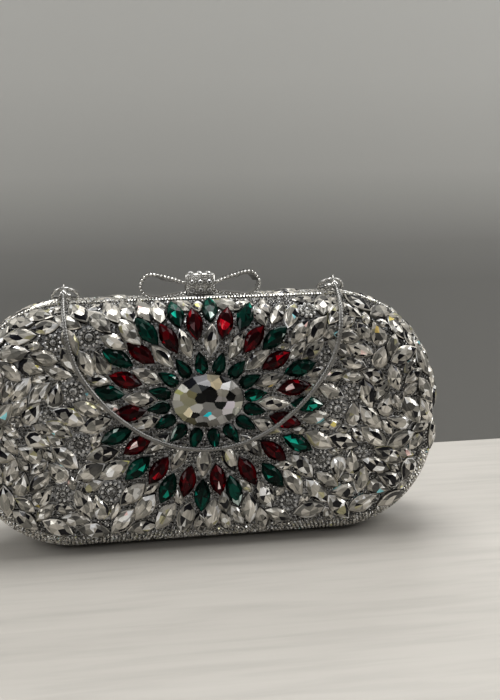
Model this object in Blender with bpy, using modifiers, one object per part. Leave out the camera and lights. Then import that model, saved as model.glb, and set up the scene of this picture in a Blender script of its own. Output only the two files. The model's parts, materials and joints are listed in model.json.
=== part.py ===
"""Crystal box clutch with a bow clasp and a snake chain.

Two domed half shells, each on a metal frame, close on each other and open on two
hinges let into the bottom of the frames. A bow on a sprung lever releases them at
the top. The chain hangs between two rings, each through a lug on the front frame.
Units are metres. X runs to the viewer's right, the front faces -Y and Z is up.
"""

from math import atan2, cos, hypot, pi, radians, sin

import bmesh
import bpy
from mathutils import Matrix, Vector

# Outline of the case from the front, measured over the metal frames
CASE_WIDTH = 0.207
CASE_HEIGHT = 0.1065
CORNER_SHARE = 0.864

# Gaps between pieces that touch on the real clutch, and the tools' own lengths
CLEARANCE = 0.0003
SEAM_GAP = 0.0003
CUT_OVERRUN = 0.002
WELD = 0.00001

# Metal frame: an outer band with a flange turned in along the seam
FRAME_DEPTH = 0.009
FRAME_WALL = 0.0025
FLANGE_WALL = 0.0016
FLANGE_RISE = 0.0019

# Domed half: the shell, the stone bed over it and the lining inside it
SHELL_WALL = 0.001
BED_WALL = 0.0013
LINING_WALL = 0.0008
TONGUE_START = 0.0036
DOME_DEPTH = 0.014
DOME_INSET = 0.012

# Hinges in the bottom of the frames
HINGE_PLACE = 0.039
HINGE_LENGTH = 0.020
HINGE_AXIS_HEIGHT = 0.0023
BARREL_RADIUS = 0.0019
HINGE_PIN_RADIUS = 0.0006
LEAF_WALL = 0.0011
LEAF_HEIGHT = 0.009
LEAF_FOOT = 0.0014
KNUCKLES = 5

# Clasp: a bracket under the front frame, a lever on a pin, a spring and a strike plate
PIVOT_DEPTH = 0.005
PIVOT_DROP = 0.008
CLASP_PIN_RADIUS = 0.0006
LEVER_WIDTH = 0.004
STEM_WALL = 0.0016
STEM_RISE = 0.0007
HUB_RADIUS = 0.0018
ARM_WALL = 0.0013
NOSE_WALL = 0.0012
NOSE_CLEARANCE = 0.0004
STRIKE_WIDTH = 0.010
STRIKE_DROP = 0.0022
BRACKET_WIDTH = 0.015
BRACKET_WALL = 0.001
EAR_WALL = 0.0012
EAR_WIDTH = 0.0036
SPRING_SPACE = 0.003
SPRING_WIRE_RADIUS = 0.00025
SPRING_RADIUS = 0.00135
SPRING_PITCH = 0.001
SPRING_LEG = 0.0042
CLASP_TRAVEL = radians(12)

# Bow on the lever
BOW_WIDTH = 0.0528
BOW_HEIGHT = 0.0098
BOW_DEPTH = 0.006
KNOT_WIDTH = 0.0133
KNOT_DEPTH = 0.0068
KNOT_BEVEL = 0.0009
RIBBON_WALL = 0.0011
LOOP_SHARES = (
    (0.18, 0.50),
    (0.56, 0.87),
    (0.87, 1.00),
    (1.00, 0.50),
    (0.87, 0.00),
    (0.56, 0.00),
    (0.18, 0.20),
)

# Lugs and rings that hold the chain
LUG_PLACE = 0.058
LUG_DEPTH = 0.0042
LUG_WIDTH = 0.005
LUG_FOOT_DEPTH = 0.003
EYE_HEIGHT = 0.0024
EYE_WALL = 0.0008
RING_WIRE_RADIUS = 0.0007
RING_WIDTH = 0.011
RING_RISE = 0.007
RING_LEAN = radians(55)

# Chain and its end caps
CHAIN_RADIUS = 0.0011
CAP_RADIUS = 0.0015
CAP_LENGTH = 0.0046
CAP_LOOP_RADIUS = 0.0016
CAP_LOOP_WIRE = 0.00045
CAP_DIP = radians(26)
CHAIN_STEP = 0.0052

# Middle of the chain's route on the right-hand side, from the cap down to the low point
CHAIN_ROUTE = (
    (0.0579, -0.01825, 0.1080),
    (0.0576, -0.02425, 0.1026),
    (0.0569, -0.02785, 0.0950),
    (0.0554, -0.02835, 0.0870),
    (0.0526, -0.02835, 0.0795),
    (0.0480, -0.02835, 0.0720),
    (0.0420, -0.02835, 0.0645),
    (0.0345, -0.02835, 0.0575),
    (0.0255, -0.02835, 0.0512),
    (0.0135, -0.02835, 0.0463),
    (0.0000, -0.02835, 0.0446),
)

# Stone setting: where the motif's middle lies in the case's height, and how stones sit in the bed
MOTIF_HEIGHT_SHARE = 0.6028
MOTIF_TURN = radians(-5)
MOTIF_COUNT = 16
SETTING_RIM = 0.0013
SETTING_RISE = 0.001
BED_BITE = 0.0006
TAPE_STEP = 0.00025

# Length, width and height of the motif's stones, as shares of the room from its middle to the top
CRYSTAL_SIZE_SHARES = (0.709, 0.532, 0.123)
CRYSTAL_RAISE_SHARE = 0.019
PEAR_SIZE_SHARES = (0.2035, 0.1325, 0.0617)
CLEAR_SIZE_SHARES = (0.2837, 0.1325, 0.0658)
MARQUISE_SIZE_SHARES = (0.3215, 0.156, 0.078)

# Distances of the rings of stones from the motif's middle, across and up, as shares of that room
PEAR_RING_SHARES = (0.4704, 0.3759)
INNER_RING_SHARES = (0.6643, 0.6194)

# Coloured stones, read from the photo by hand and then moved apart by a layout script:
# share of a turn clockwise from the top, and share of the room along the bed
RED_PLACE_SHARES = (
    (0.0406, 0.7977), (0.1061, 0.7722), (0.1703, 0.7975), (0.2319, 0.8781), (0.2963, 0.8153),
    (0.3608, 0.8453), (0.4242, 0.8241), (0.4847, 0.8040), (0.5440, 0.8350), (0.6036, 0.8480),
    (0.6676, 0.8104), (0.7345, 0.7780), (0.7995, 0.8362), (0.8580, 0.8171), (0.9192, 0.7443),
    (0.9792, 0.7837),
)
GREEN_PLACE_SHARES = (
    (0.0108, 0.9353), (0.0730, 0.9217), (0.1348, 0.9202), (0.2019, 0.9834), (0.2626, 1.0127),
    (0.3277, 1.0185), (0.3929, 1.0194), (0.4604, 0.9689), (0.5144, 0.9689), (0.5737, 0.9640),
    (0.6344, 0.9592), (0.6995, 0.9594), (0.7720, 0.9816), (0.8302, 0.9900), (0.8936, 0.9169),
    (0.9497, 0.9340),
)

# Large clear stones: height, and length and width of each kind as shares of the room; the last two are pears
FIELD_HEIGHT = 0.0030
FIELD_KIND_SHARES = ((0.328, 0.163), (0.284, 0.142), (0.236, 0.118), (0.298, 0.175), (0.2505, 0.156))
FIRST_PEAR_KIND = 3

# Their places, printed by the same layout script, which filled the front's gaps and the whole back at random:
# shares of the room across and up from the motif's middle, share of a turn, and kind
FRONT_STONE_SHARES = (
    (0.2408, 0.9270, 0.151, 0), (-1.2275, 0.9083, 0.081, 0), (-0.7543, 0.9041, 0.057, 0),
    (-0.5877, 0.9029, 0.050, 0), (-0.9048, 0.9025, 0.055, 0), (1.2182, 0.9008, 0.474, 0),
    (1.5842, 0.8975, 0.066, 0), (-0.4425, 0.8948, 0.010, 0), (-1.6147, 0.8943, 0.233, 0),
    (-1.0257, 0.8268, 0.110, 0), (-1.7977, 0.8244, 0.268, 0), (1.8061, 0.8003, 0.274, 0),
    (-0.7415, 0.7276, 0.104, 0), (-1.7884, 0.7150, 0.265, 0), (1.1212, 0.6742, 0.395, 0),
    (-2.0073, 0.6734, 0.459, 0), (-1.8617, 0.5633, 0.265, 0), (-2.1415, 0.4530, 0.348, 0),
    (2.0161, 0.3727, 0.311, 0), (-2.0543, 0.3038, 0.468, 0), (2.2259, 0.2977, 0.045, 0),
    (-2.2069, 0.2264, 0.457, 0), (-2.3365, 0.1150, 0.142, 0), (-2.1437, 0.0586, 0.325, 0),
    (1.6427, -0.0040, 0.043, 0), (2.2567, -0.0087, 0.094, 0), (-2.0213, -0.0449, 0.378, 0),
    (-2.3472, -0.0591, 0.221, 0), (-1.3643, -0.0823, 0.174, 0), (2.3775, -0.0981, 0.415, 0),
    (-1.1125, -0.1744, 0.302, 0), (-2.2083, -0.1926, 0.488, 0), (2.0993, -0.1955, 0.082, 0),
    (2.2659, -0.2209, 0.097, 0), (1.6685, -0.2512, 0.118, 0), (-2.3339, -0.2980, 0.001, 0),
    (-2.0608, -0.4171, 0.199, 0), (1.7041, -0.4588, 0.141, 0), (1.1254, -0.4600, 0.162, 0),
    (-1.0566, -0.4760, 0.278, 0), (-2.2514, -0.4855, 0.004, 0), (-1.4199, -0.4902, 0.131, 0),
    (1.3844, -0.4902, 0.194, 0), (2.3456, -0.4928, 0.494, 0), (1.9835, -0.4994, 0.319, 0),
    (-2.3684, -0.5126, 0.102, 0), (-2.1139, -0.6178, 0.037, 0), (-0.9497, -0.6428, 0.330, 0),
    (2.2276, -0.6493, 0.444, 0), (-1.1916, -0.6517, 0.326, 0), (1.8563, -0.6630, 0.172, 0),
    (0.9503, -0.7188, 0.113, 0), (-2.2062, -0.7564, 0.112, 0), (1.7166, -0.7590, 0.183, 0),
    (0.8464, -0.8908, 0.091, 0), (-2.0192, -0.8915, 0.007, 0), (-0.7828, -0.9029, 0.357, 0),
    (-2.2475, -0.9034, 0.498, 0), (2.1459, -0.9335, 0.447, 0), (-1.2699, -0.9757, 0.066, 0),
    (0.5536, -0.9945, 0.069, 0), (1.0969, -0.9951, 0.111, 0), (-2.1192, -1.0176, 0.499, 0),
    (-0.6617, -1.0423, 0.392, 0), (-1.8438, -1.1001, 0.127, 0), (0.3898, -1.1280, 0.002, 0),
    (1.8873, -1.1356, 0.313, 0), (-0.4625, -1.1508, 0.400, 0), (1.5688, -1.1590, 0.318, 0),
    (0.0054, -1.1682, 0.468, 0), (-1.9838, -1.1726, 0.437, 0), (-0.8907, -1.1776, 0.373, 0),
    (-0.2618, -1.1785, 0.448, 0), (1.3224, -1.1791, 0.109, 0), (1.0115, -1.1933, 0.277, 0),
    (-1.5330, -1.1992, 0.162, 0), (-1.1799, -1.2553, 0.212, 0), (1.6631, -1.2786, 0.302, 0),
    (1.8639, -1.2855, 0.347, 0), (-1.7037, -1.2931, 0.153, 0), (-1.8173, -1.3393, 0.030, 0),
    (-0.5330, -1.3440, 0.262, 0), (0.9628, -1.3502, 0.135, 0), (-1.2994, -1.3583, 0.185, 0),
    (1.1546, -1.3623, 0.094, 0), (0.2493, -1.3701, 0.346, 0), (1.3814, -1.3741, 0.362, 0),
    (-0.7903, -1.3753, 0.187, 0), (0.6328, -1.3787, 0.354, 0), (-1.0215, -1.3867, 0.197, 0),
    (-0.0178, -1.3878, 0.350, 0), (-0.2146, -1.3892, 0.004, 0), (1.5918, -1.3985, 0.303, 0),
    (-1.4735, -1.4016, 0.047, 0), (0.8092, -1.4098, 0.497, 0), (0.3655, -1.4485, 0.252, 0),
    (-0.1936, 0.9301, 0.144, 1), (0.7386, 0.8410, 0.418, 1), (-1.3308, 0.8322, 0.175, 1),
    (1.3274, 0.8159, 0.402, 1), (0.8740, 0.8111, 0.442, 1), (-1.5484, 0.7946, 0.274, 1),
    (-1.3136, 0.6617, 0.064, 1), (0.9494, 0.6535, 0.399, 1), (1.9559, 0.6430, 0.044, 1),
    (-0.8930, 0.6382, 0.173, 1), (1.4336, 0.5981, 0.222, 1), (-1.5638, 0.5120, 0.207, 1),
    (1.3488, 0.4792, 0.151, 1), (-1.3370, 0.4769, 0.070, 1), (1.0732, 0.4696, 0.353, 1),
    (1.5644, 0.4566, 0.186, 1), (-1.1772, 0.4429, 0.070, 1), (-1.9034, 0.4028, 0.120, 1),
    (-1.4470, 0.3702, 0.194, 1), (1.4921, 0.3146, 0.197, 1), (-1.8040, 0.2172, 0.389, 1),
    (-1.6358, 0.1695, 0.369, 1), (1.9267, 0.1493, 0.045, 1), (1.2547, 0.0391, 0.185, 1),
    (-1.1844, -0.0123, 0.181, 1), (-1.4709, -0.1978, 0.157, 1), (1.0887, -0.2167, 0.264, 1),
    (-1.9544, -0.6110, 0.444, 1), (-1.6857, -0.7187, 0.369, 1), (1.2036, -0.8848, 0.151, 1),
    (1.5631, -0.9125, 0.456, 1), (2.2227, -0.9781, 0.470, 1), (-1.3588, -1.1275, 0.221, 1),
    (0.6866, -1.2201, 0.180, 1), (0.5188, -1.2531, 0.025, 1), (-0.7050, -1.2573, 0.274, 1),
    (-1.6162, -1.4170, 0.097, 1), (-0.4587, -1.4387, 0.395, 1), (1.7513, 0.6080, 0.053, 4),
    (-1.0340, 0.4411, 0.066, 4), (-1.6917, 0.4220, 0.692, 4), (1.7856, 0.3761, 0.940, 4),
    (1.6846, 0.1863, 0.183, 4), (-1.4858, 0.1430, 0.965, 4), (2.3468, 0.1011, 0.487, 4),
    (-1.7170, -0.0221, 0.903, 4), (1.8337, -0.1313, 0.959, 4), (1.4886, -0.2072, 0.998, 4),
    (-1.6761, -0.3075, 0.683, 4), (1.9587, -0.3121, 0.197, 4), (-1.7663, -0.4274, 0.163, 4),
    (-1.5100, -0.6266, 0.106, 4), (1.4749, -0.7145, 0.019, 4), (-1.8571, -0.7209, 0.954, 4),
    (1.3229, -0.7704, 0.494, 4), (2.2888, -0.7863, 0.445, 4), (2.0577, -0.8300, 0.440, 4),
    (-1.6629, -0.8670, 0.881, 4), (1.8517, -0.9118, 0.190, 4), (1.7493, -1.0052, 0.707, 4),
    (-1.1131, -1.0162, 0.041, 4), (1.3615, -1.0233, 0.253, 4), (2.0845, -1.1397, 0.797, 4),
)
BACK_STONE_SHARES = (
    (1.0172, 0.9307, 0.285, 0), (0.6881, 0.9307, 0.215, 0), (0.3548, 0.9307, 0.262, 0),
    (0.0124, 0.9307, 0.211, 0), (-0.6876, 0.9307, 0.228, 0), (-1.0139, 0.9307, 0.273, 0),
    (-1.3651, 0.9307, 0.224, 0), (1.3689, 0.9307, 0.209, 0), (-0.3459, 0.9289, 0.290, 0),
    (-1.6735, 0.8810, 0.371, 0), (1.6754, 0.8769, 0.198, 0), (0.5420, 0.8510, 0.274, 0),
    (-0.8125, 0.8466, 0.188, 0), (-0.5419, 0.8460, 0.220, 0), (0.2782, 0.8394, 0.152, 0),
    (-1.2606, 0.8314, 0.196, 0), (1.0367, 0.8195, 0.380, 0), (-1.0255, 0.8194, 0.142, 0),
    (-0.0949, 0.8127, 0.008, 0), (0.0990, 0.8113, 0.148, 0), (-1.4638, 0.8034, 0.160, 0),
    (-1.6580, 0.7685, 0.196, 0), (-1.9599, 0.7347, 0.368, 0), (1.9634, 0.7321, 0.053, 0),
    (0.5332, 0.6966, 0.349, 0), (-1.8155, 0.6797, 0.230, 0), (-0.6817, 0.6486, 0.007, 0),
    (0.3066, 0.6475, 0.360, 0), (-1.0598, 0.6442, 0.071, 0), (0.0731, 0.6436, 0.099, 0),
    (-1.6150, 0.5923, 0.353, 0), (-0.1162, 0.5788, 0.213, 0), (1.6871, 0.5687, 0.220, 0),
    (-2.0468, 0.5420, 0.383, 0), (-1.3097, 0.5277, 0.087, 0), (-2.1849, 0.5083, 0.479, 0),
    (2.1861, 0.5067, 0.096, 0), (0.8426, 0.5059, 0.281, 0), (-1.4723, 0.4921, 0.485, 0),
    (0.4520, 0.4552, 0.426, 0), (1.0307, 0.4320, 0.298, 0), (0.0104, 0.4285, 0.326, 0),
    (0.6137, 0.4246, 0.020, 0), (1.5484, 0.3831, 0.474, 0), (-1.6732, 0.3648, 0.418, 0),
    (-2.0806, 0.3419, 0.168, 0), (1.7045, 0.3280, 0.482, 0), (-2.3279, 0.2263, 0.441, 0),
    (2.3271, 0.2249, 0.487, 0), (-2.2257, 0.2219, 0.004, 0), (0.9070, 0.1927, 0.451, 0),
    (1.4349, 0.1822, 0.013, 0), (-2.0612, 0.1592, 0.325, 0), (2.2225, 0.1557, 0.450, 0),
    (-1.7136, 0.1083, 0.425, 0), (2.0223, 0.1065, 0.068, 0), (1.6045, 0.0825, 0.062, 0),
    (1.8685, 0.0474, 0.481, 0), (-1.0261, 0.0385, 0.152, 0), (-2.2931, 0.0053, 0.071, 0),
    (-0.7264, 0.0010, 0.258, 0), (2.2631, -0.0512, 0.411, 0), (-2.1273, -0.0527, 0.107, 0),
    (1.2646, -0.0594, 0.100, 0), (-2.3775, -0.0823, 0.021, 0), (2.3775, -0.0872, 0.032, 0),
    (-0.5941, -0.1205, 0.371, 0), (1.0802, -0.1313, 0.019, 0), (1.7744, -0.1776, 0.030, 0),
    (-0.4524, -0.2138, 0.486, 0), (2.1384, -0.2595, 0.196, 0), (2.3201, -0.2599, 0.002, 0),
    (-2.3070, -0.2631, 0.496, 0), (0.1971, -0.2652, 0.173, 0), (-0.6602, -0.3167, 0.220, 0),
    (-1.1388, -0.3937, 0.179, 0), (-2.2059, -0.3986, 0.474, 0), (-2.3775, -0.4368, 0.487, 0),
    (2.3769, -0.4377, 0.452, 0), (-1.5262, -0.4427, 0.391, 0), (0.1848, -0.4429, 0.311, 0),
    (-1.3081, -0.4508, 0.106, 0), (-0.2449, -0.4691, 0.108, 0), (-0.5656, -0.4830, 0.186, 0),
    (-0.7690, -0.5049, 0.107, 0), (-0.0380, -0.5357, 0.123, 0), (-2.0194, -0.5365, 0.076, 0),
    (-1.0513, -0.5690, 0.186, 0), (0.2701, -0.6031, 0.439, 0), (-1.7442, -0.6425, 0.391, 0),
    (1.5480, -0.6684, 0.135, 0), (-1.4396, -0.6714, 0.060, 0), (-0.1267, -0.6848, 0.252, 0),
    (2.2265, -0.6947, 0.370, 0), (-1.2659, -0.7242, 0.425, 0), (-2.3284, -0.7425, 0.054, 0),
    (2.3273, -0.7461, 0.012, 0), (0.4394, -0.7904, 0.170, 0), (0.6764, -0.7979, 0.191, 0),
    (0.1310, -0.7996, 0.082, 0), (-2.2001, -0.8038, 0.096, 0), (-2.0363, -0.8045, 0.499, 0),
    (2.0281, -0.8099, 0.434, 0), (-1.7530, -0.8522, 0.410, 0), (0.3193, -0.8969, 0.089, 0),
    (1.3481, -0.9472, 0.042, 0), (0.6519, -0.9564, 0.205, 0), (-1.3986, -0.9631, 0.035, 0),
    (2.0907, -0.9672, 0.338, 0), (-2.1784, -1.0202, 0.015, 0), (2.1823, -1.0239, 0.415, 0),
    (-1.6945, -1.0417, 0.452, 0), (-2.0410, -1.0488, 0.105, 0), (-1.5279, -1.0604, 0.060, 0),
    (0.4942, -1.0641, 0.039, 0), (1.5624, -1.0873, 0.151, 0), (-1.2455, -1.1142, 0.044, 0),
    (1.9511, -1.1367, 0.316, 0), (0.6645, -1.1566, 0.385, 0), (1.3980, -1.1829, 0.204, 0),
    (0.3791, -1.1902, 0.034, 0), (-1.8365, -1.1989, 0.052, 0), (0.1930, -1.2121, 0.159, 0),
    (-1.9630, -1.2461, 0.124, 0), (1.9575, -1.2541, 0.436, 0), (-1.3703, -1.2703, 0.227, 0),
    (1.6728, -1.2788, 0.156, 0), (-0.8984, -1.3123, 0.368, 0), (0.8490, 0.8472, 0.794, 3),
    (1.4261, 0.8211, 0.143, 3), (-0.2696, 0.7939, 0.064, 3), (-0.4502, 0.6905, 0.732, 3),
    (0.8352, 0.6691, 0.740, 3), (1.1228, 0.5893, 0.648, 3), (-1.9254, 0.4590, 0.276, 3),
    (-1.5404, 0.2583, 0.017, 3), (-0.0572, 0.2581, 0.843, 3), (1.0997, 0.1276, 0.540, 3),
    (-1.5753, 0.0012, 0.270, 3), (0.1238, -0.0917, 0.342, 3), (-1.3795, -0.2450, 0.305, 3),
    (-0.2470, -0.2790, 0.585, 3), (-0.9810, -0.3017, 0.247, 3), (0.4273, -0.3534, 0.118, 3),
    (1.6980, -0.5684, 0.250, 3), (-1.1197, -0.8002, 0.046, 3), (-0.0283, -0.8454, 0.940, 3),
    (1.6897, -0.9141, 0.329, 3), (-1.1081, -1.0326, 0.171, 3), (-0.4746, -1.1590, 0.504, 3),
    (0.8281, -1.2044, 0.313, 3), (1.2415, -1.2912, 0.998, 3), (-0.6536, -1.3053, 0.261, 3),
)

# Discs that stand for a stone: share of its half length, and radius as share of its width
POINTED_DISC_SHARES = (
    (0, 0.47), (0.28, 0.4), (-0.28, 0.4), (0.6, 0.27), (-0.6, 0.27), (0.86, 0.1), (-0.86, 0.1),
)
PEAR_DISC_SHARES = ((-0.42, 0.48), (-0.12, 0.45), (0.17, 0.36), (0.45, 0.24), (0.7, 0.14), (-0.72, 0.3))

# Shares of a stone's height and outline
GIRDLE_SHARE = 0.36
BASE_SHARE = 0.9
TABLE_SHARE = 0.46
FIELD_TABLE_SHARE = 0.58
PEAR_BELLY_SHARE = 0.77
CRYSTAL_SHARES = ((0, 0.9), (0.34, 1), (0.74, 0.76), (1, 0.46))

# Facets
BED_ARC_STEPS = 8
INNER_ARC_STEPS = 4
BED_DOME_STEPS = 6
INNER_DOME_STEPS = 3
ROUND_SIDES = 12
STONE_SIDES = 8
SET_STONE_SIDES = 6
FRONT_FIELD_SIDES = (6, 5)
BACK_FIELD_SIDES = (4, 4)
CRYSTAL_SIDES = 16
RING_STEPS = 10
BOW_STEPS = 4

# Derived places
CORNER_RADIUS = CORNER_SHARE * CASE_HEIGHT / 2
MOTIF_HEIGHT = MOTIF_HEIGHT_SHARE * CASE_HEIGHT
MOTIF_ROOM = CASE_HEIGHT - MOTIF_HEIGHT
BAND_INSET = FRAME_WALL + CLEARANCE
DOME_START = FRAME_DEPTH + CLEARANCE
BED_OFFSET = CLEARANCE + BED_WALL
LINING_OFFSET = -SHELL_WALL - CLEARANCE
BED_FACE = DOME_START + DOME_DEPTH + BED_OFFSET
CRYSTAL_HEIGHT = CRYSTAL_SIZE_SHARES[2] * MOTIF_ROOM
FRONT_REACH = BED_FACE + SETTING_RISE + CLEARANCE + CRYSTAL_HEIGHT
BACK_REACH = BED_FACE + FIELD_HEIGHT
SEAM_Y = (FRONT_REACH - BACK_REACH) / 2
FLANGE_INSET = FRAME_WALL + FLANGE_RISE
PIVOT_HEIGHT = CASE_HEIGHT - PIVOT_DROP
PLATE_TOP = CASE_HEIGHT - FRAME_WALL - CLEARANCE
FRONT = -1
BACK = 1

collection = None
cutters = None


def clear_scene():
    """Remove what the start file holds and make the two collections."""
    global collection, cutters
    for thing in list(bpy.data.objects):
        bpy.data.objects.remove(thing, do_unlink=True)
    collection = bpy.data.collections.new("crystal_clutch")
    cutters = bpy.data.collections.new("cutters")
    bpy.context.scene.collection.children.link(collection)
    bpy.context.scene.collection.children.link(cutters)


def finish(name, colour, roughness, metallic):
    """A plain material for one kind of surface."""
    material = bpy.data.materials.get(name)
    if material is None:
        material = bpy.data.materials.new(name)
        material.use_nodes = True
        shader = material.node_tree.nodes["Principled BSDF"]
        shader.inputs["Base Color"].default_value = (*colour, 1)
        shader.inputs["Roughness"].default_value = roughness
        shader.inputs["Metallic"].default_value = metallic
    return material


def nickel():
    return finish("nickel_plate", (0.66, 0.65, 0.63), 0.22, 1)


def crystal_glass():
    return finish("foiled_crystal", (0.78, 0.77, 0.74), 0.08, 0.6)


def red_glass():
    return finish("red_glass", (0.26, 0.004, 0.016), 0.08, 0.3)


def green_glass():
    return finish("green_glass", (0.0, 0.11, 0.07), 0.08, 0.3)


def satin():
    return finish("satin_lining", (0.46, 0.45, 0.44), 0.55, 0)


def board():
    return finish("shell_board", (0.30, 0.30, 0.29), 0.6, 0)


def place(thing, material=None):
    """Put a finished piece in the clutch's collection."""
    collection.objects.link(thing)
    if material:
        thing.data.materials.append(material)
    return thing


def tool(thing):
    """Keep a cutter or a joined-in shape out of the model."""
    cutters.objects.link(thing)
    thing.hide_render = True
    thing.display_type = "WIRE"
    return thing


def object_from(name, bm):
    """Turn a bmesh into an object with its faces pointing out."""
    bmesh.ops.recalc_face_normals(bm, faces=bm.faces)
    mesh = bpy.data.meshes.new(name)
    bm.to_mesh(mesh)
    bm.free()
    return bpy.data.objects.new(name, mesh)


def combine(thing, other, operation, crossing=False):
    """Add a live Boolean of another object to a piece; crossing says that the other crosses itself."""
    modifier = thing.modifiers.new(other.name, "BOOLEAN")
    modifier.object = other
    modifier.operation = operation
    modifier.use_self = crossing
    return thing


def smooth(thing, angle=radians(35)):
    """Shade a round piece smooth up to the given edge angle."""
    thing.data.shade_smooth()
    thing.data.set_sharp_from_angle(angle=angle)
    return thing


def box(name, low, high):
    """A box between two corners, low and high."""
    low = Vector(low)
    high = Vector(high)
    bm = bmesh.new()
    size = high - low
    bmesh.ops.create_cube(bm, size=1, matrix=Matrix.Translation((low + high) / 2) @ Matrix.Diagonal((*size, 1)))
    return object_from(name, bm)


def rod(name, radius, length, centre, sides=ROUND_SIDES):
    """A cylinder along X."""
    bm = bmesh.new()
    turned = Matrix.Translation(centre) @ Matrix.Rotation(pi / 2, 4, "Y")
    bmesh.ops.create_cone(
        bm, cap_ends=True, segments=sides, radius1=radius, radius2=radius, depth=length, matrix=turned)
    return smooth(object_from(name, bm))


def front_y(depth):
    """World Y of a place this deep into the front half."""
    return SEAM_Y - depth


def sideways_plate(name, outlines, width, centre):
    """A flat outline in the Y-Z plane, given as closed loops, extruded along X and made a mesh."""
    curve = bpy.data.curves.new(name, "CURVE")
    curve.dimensions = "2D"
    curve.fill_mode = "BOTH"
    curve.extrude = width / 2
    for loop in outlines:
        spline = curve.splines.new("POLY")
        spline.points.add(len(loop) - 1)
        for point, (y, z) in zip(spline.points, loop):
            point.co = (y, z, 0, 1)
        spline.use_cyclic_u = True
    guide = bpy.data.objects.new(name, curve)
    guide.matrix_world = Matrix.Translation(centre) @ Matrix(((0, 0, 1), (1, 0, 0), (0, 1, 0))).to_4x4()
    return mesh_of_curve(guide)


def mesh_of_curve(guide):
    """Make a closed mesh object of a curve object, in world space, and remove the curve."""
    bpy.context.scene.collection.objects.link(guide)
    bpy.context.view_layer.update()
    evaluated = guide.evaluated_get(bpy.context.evaluated_depsgraph_get())
    mesh = bpy.data.meshes.new_from_object(evaluated)
    mesh.transform(guide.matrix_world)
    bm = bmesh.new()
    bm.from_mesh(mesh)
    bmesh.ops.remove_doubles(bm, verts=bm.verts, dist=WELD)
    name = guide.name
    bpy.data.meshes.remove(mesh)
    bpy.data.objects.remove(guide, do_unlink=True)
    return object_from(name, bm)


def circle(radius, sides=ROUND_SIDES):
    """Points of a circle round the origin of a flat outline."""
    return [(radius * cos(2 * pi * k / sides), radius * sin(2 * pi * k / sides)) for k in range(sides)]


def wire(name, points, radius, cyclic=False, resolution=2):
    """A round wire through the given points."""
    curve = bpy.data.curves.new(name, "CURVE")
    curve.dimensions = "3D"
    curve.bevel_depth = radius
    curve.bevel_resolution = resolution
    curve.use_fill_caps = not cyclic
    spline = curve.splines.new("POLY")
    spline.points.add(len(points) - 1)
    for point, place_at in zip(spline.points, points):
        point.co = (*place_at, 1)
    spline.use_cyclic_u = cyclic
    spline.use_smooth = True
    return bpy.data.objects.new(name, curve)


def outline(inset, steps):
    """Points (x, z) of the case outline drawn in by inset, counterclockwise from the front."""
    radius = CORNER_RADIUS - inset
    points = []
    for corner, (side, end) in enumerate(((1, 1), (-1, 1), (-1, -1), (1, -1))):
        centre_x = side * (CASE_WIDTH / 2 - CORNER_RADIUS)
        centre_z = CASE_HEIGHT / 2 + end * (CASE_HEIGHT / 2 - CORNER_RADIUS)
        for step in range(steps + 1):
            angle = (corner + step / steps) * pi / 2
            points.append((centre_x + radius * cos(angle), centre_z + radius * sin(angle)))
    return points


def bowl(name, side, offset, wall, rim, arc_steps, dome_steps):
    """Half of the case: the outline pushed out from its rim, then inset step by step over the dome."""
    points = outline(BAND_INSET - offset, arc_steps)
    if side == BACK:
        points.reverse()
    bm = bmesh.new()
    face = bm.faces.new([bm.verts.new((x, SEAM_Y + side * rim, z)) for x, z in points])
    face.normal_update()
    if rim < DOME_START:
        bmesh.ops.inset_region(bm, faces=[face], thickness=0, depth=DOME_START - rim, use_boundary=True)
    before = 0
    for step in range(1, dome_steps + 1):
        angle = step / dome_steps * pi / 2
        inwards = (DOME_INSET + offset) * (cos(before) - cos(angle))
        outwards = (DOME_DEPTH + offset) * (sin(angle) - sin(before))
        bmesh.ops.inset_region(
            bm, faces=[face], thickness=inwards, depth=outwards, use_boundary=True, use_even_offset=True)
        before = angle
    mesh = bpy.data.meshes.new(name)
    bm.to_mesh(mesh)
    bm.free()
    thing = bpy.data.objects.new(name, mesh)
    solid = thing.modifiers.new("wall", "SOLIDIFY")
    solid.thickness = wall
    solid.offset = -1
    solid.use_even_offset = True
    return smooth(thing)


def clasp_notch(name, side, half_width):
    """The cutter that opens a shell or lining round the clasp at the top of the rim."""
    depths = sorted((side * (TONGUE_START - CUT_OVERRUN), side * (DOME_START - CLEARANCE)))
    low = (-half_width, SEAM_Y + depths[0], CASE_HEIGHT - FLANGE_INSET - CUT_OVERRUN)
    high = (half_width, SEAM_Y + depths[1], CASE_HEIGHT - FRAME_WALL + CUT_OVERRUN)
    return tool(box(name, low, high))


def make_bowls(side, word):
    """Shell and lining of one half."""
    half_width = CLEARANCE + (BRACKET_WIDTH if side == FRONT else STRIKE_WIDTH) / 2
    notch = clasp_notch(word + "_clasp_notch", side, half_width)
    shell = bowl(word + "_shell", side, 0, SHELL_WALL, TONGUE_START, INNER_ARC_STEPS, INNER_DOME_STEPS)
    place(combine(shell, notch, "DIFFERENCE"), board())
    lining = bowl(
        word + "_lining", side, LINING_OFFSET, LINING_WALL, TONGUE_START, INNER_ARC_STEPS, INNER_DOME_STEPS)
    place(combine(lining, notch, "DIFFERENCE"), satin())
    return [shell, lining]


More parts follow.
